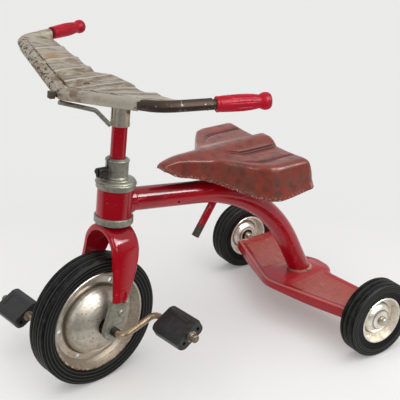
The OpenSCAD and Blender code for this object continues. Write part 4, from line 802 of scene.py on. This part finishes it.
# Crank: nickel worn through to warm brown steel where shoes rub it
crank_metal, tree, place = material("warm_worn_crank")
cloud = patches(tree, place, 16, 0.35, 0.65, detail=5, seed=2)
rub = patches(tree, place, 7, 0.50, 0.8, detail=5, seed=4)
rust = patches(tree, place, 5, 0.70, 0.78, detail=4, seed=6)
surface(
    tree,
    layered(tree, "9C856B", (cloud, "AE9D85"), (rub, "866F57"), (rust, "5E4430")),
    layered(tree, 0.27, (cloud, 0.32), (rub, 0.40), (rust, 0.7)),
    layered(tree, 0.5, (rub, 0.46), (rust, 0.35)), 0.10, Metallic=0.75)
paint(crank_metal, "crank")
paint(rusty, "front_hub", "hub_pin")
paint(steel, "pedal_washers")

# Push-on caps: pressed steel gone dull brown
cap_steel, tree, place = material("dull_brown_cap")
cloud = patches(tree, place, 4, 0.35, 0.65, detail=5, seed=2)
surface(tree, layered(tree, "6F6153", (cloud, "8B7B69")), layered(tree, 0.35, (cloud, 0.55)),
        cloud, 0.15, Metallic=0.6)
paint(cap_steel, "pedal_caps")

SIDE_RINGS = (0.81, 0.86, 0.915, 0.96)  # shares of the tread's radius
TREAD_GROOVES = (4.0, 8.5)              # mm from the tread's middle


def rubber_tyre(name, middle, turn, tread_r, *nodes):
    """Black rubber: a faint sheen, painted highlight lines on each moulded ring and tread groove,
    tread edges scuffed grey.
    """
    made, tree, place = material(name)
    radius, _, sideways = from_axle(tree, place, middle, turn)
    cloud = patches(tree, place, 40, 0.35, 0.7, seed=1)
    scuff = patches(tree, place, 5, 0.52, 0.72, detail=6, seed=2)
    tread = add(tree, "MapRange", {"Value": radius, "From Min": tread_r - 4,
                                   "From Max": tread_r - 0.4}).outputs[0]
    worn = where_all(tree, tread, patches(tree, place, 9, 0.45, 0.7, detail=6, seed=5), 0.7)
    off_middle = add(tree, "Math", {0: sideways}, operation="ABSOLUTE").outputs[0]
    # painted highlight: pale lines on the sidewall's moulded ring lines and the tread's grooves
    ring_highlights = where_any(
        tree, *(band(tree, radius, share * tread_r, 0.3, 0.7) for share in SIDE_RINGS),
        *(band(tree, off_middle, at, 0.3, 0.7) for at in TREAD_GROOVES))
    surface(
        tree,
        layered(tree, "070808", (cloud, "0B0C0C"), (scuff, "131313"), (worn, "363533"),
                (ring_highlights, "464644")),
        layered(tree, 0.40, (cloud, 0.46), (scuff, 0.58), (worn, 0.7)),
        layered(tree, 0.5, (scuff, 0.53), (ring_highlights, 1.0), (worn, 0.4)), 0.5, IOR=1.5,
        Specular_IOR_Level=0.14)
    paint(made, *nodes)


rubber_tyre("front_tyre_rubber", WHEEL_MIDDLE, WHEEL_TURN, FRONT_TREAD_R, "front_tyre")

# --- Pedals -----------------------------------------------------------------------------------
# Rubber blocks with bevelled edges, each moulded round a steel sleeve that turns on the end
# of the crank between two washers.

# Scuffed black rubber: moulded, with a low sheen, greyed and nicked where shoes press
pedal_rubber, tree, place = material("scuffed_pedal_rubber")
cloud = patches(tree, place, 22, 0.35, 0.7, seed=1)
scuff = patches(tree, place, 7, 0.46, 0.72, detail=6, seed=2)
nick = patches(tree, place, 3, 0.64, 0.70, detail=5, seed=3)
surface(
    tree,
    layered(tree, "17181A", (cloud, "1F1F20"), (scuff, "2E2C2A"), (nick, "3B3733")),
    layered(tree, 0.33, (cloud, 0.42), (scuff, 0.55)),
    layered(tree, 0.5, (scuff, 0.45), (nick, 0.3)), 0.3, IOR=1.5)
paint(pedal_rubber, "pedal_block_left", "pedal_block_right")
paint(steel, "pedal_sleeve_left", "pedal_sleeve_right")

# --- Rear wheels ------------------------------------------------------------------------------
# Two smaller domed discs, pressed from steel sheet and set back to back, grip a solid rubber
# tyre. They sit on a hub tube that turns on the axle.
REAR_DOME_R = 32.0
REAR_RING_R = REAR_DOME_R * 0.62  # the painted shade ring on the dome
HOLLOW_R = 14.5                   # the hollow round the axle on the inner disc, dark with painted shade
REAR_TREAD_R = 78.0
REAR_HALF_TRACK = 226.0
for side_name, hand in (("left", 1), ("right", -1)):
    middle = Vector((STEP_AXLE_X, hand * REAR_HALF_TRACK, REAR_TREAD_R)) * MM
    rubber_tyre("rear_tyre_rubber_" + side_name, middle, (0, 0, 0), REAR_TREAD_R,
                "rear_tyre_" + side_name)
    # Brighter nickel: it kept more of its plate, with painted shade lines at the dome's foot and
    # on the dome
    rear_nickel, tree, place = material("bright_nickel_disc_" + side_name)
    radius, _, sideways = from_axle(tree, place, middle, (0, 0, 0))
    cloud = patches(tree, place, 18, 0.3, 0.7, detail=4, seed=1)
    smear = patches(tree, place, 8, 0.48, 0.75, detail=6, seed=2)
    pit = patches(tree, place, 2.4, 0.65, 0.70, detail=4, seed=3)
    # painted shade: dark lines at the dome's foot and on the dome
    rear_foot_shade = band(tree, radius, REAR_DOME_R + 0.6, 0.7, 1.6)
    step_ring_shade = band(tree, radius, REAR_RING_R, 0.6, 1.4)
    # painted shade: the inner disc is dark in the hollow round the axle
    hollow_shade = where_all(
        tree,
        add(tree, "MapRange", {"Value": radius, "From Min": HOLLOW_R + 1.5,
                               "From Max": HOLLOW_R}).outputs[0],
        add(tree, "MapRange", {"Value": sideways, "From Min": 0.0, "From Max": -hand}).outputs[0])
    surface(
        tree,
        layered(tree, "EBE4D8", (cloud, "F2ECE1"), (smear, "CFC6B8"), (rear_foot_shade, "8A7E70"),
                (step_ring_shade, "8E8272"), (pit, "4E4236"), (hollow_shade, "241612")),
        layered(tree, 0.26, (cloud, 0.32), (smear, 0.42), (pit, 0.8)),
        layered(tree, 0.5, (smear, 0.45), (pit, 0.15)), 0.12, Metallic=0.65)
    paint(rear_nickel, "rear_disc_out_" + side_name, "rear_disc_in_" + side_name)
    paint(steel, "rear_hub_" + side_name)
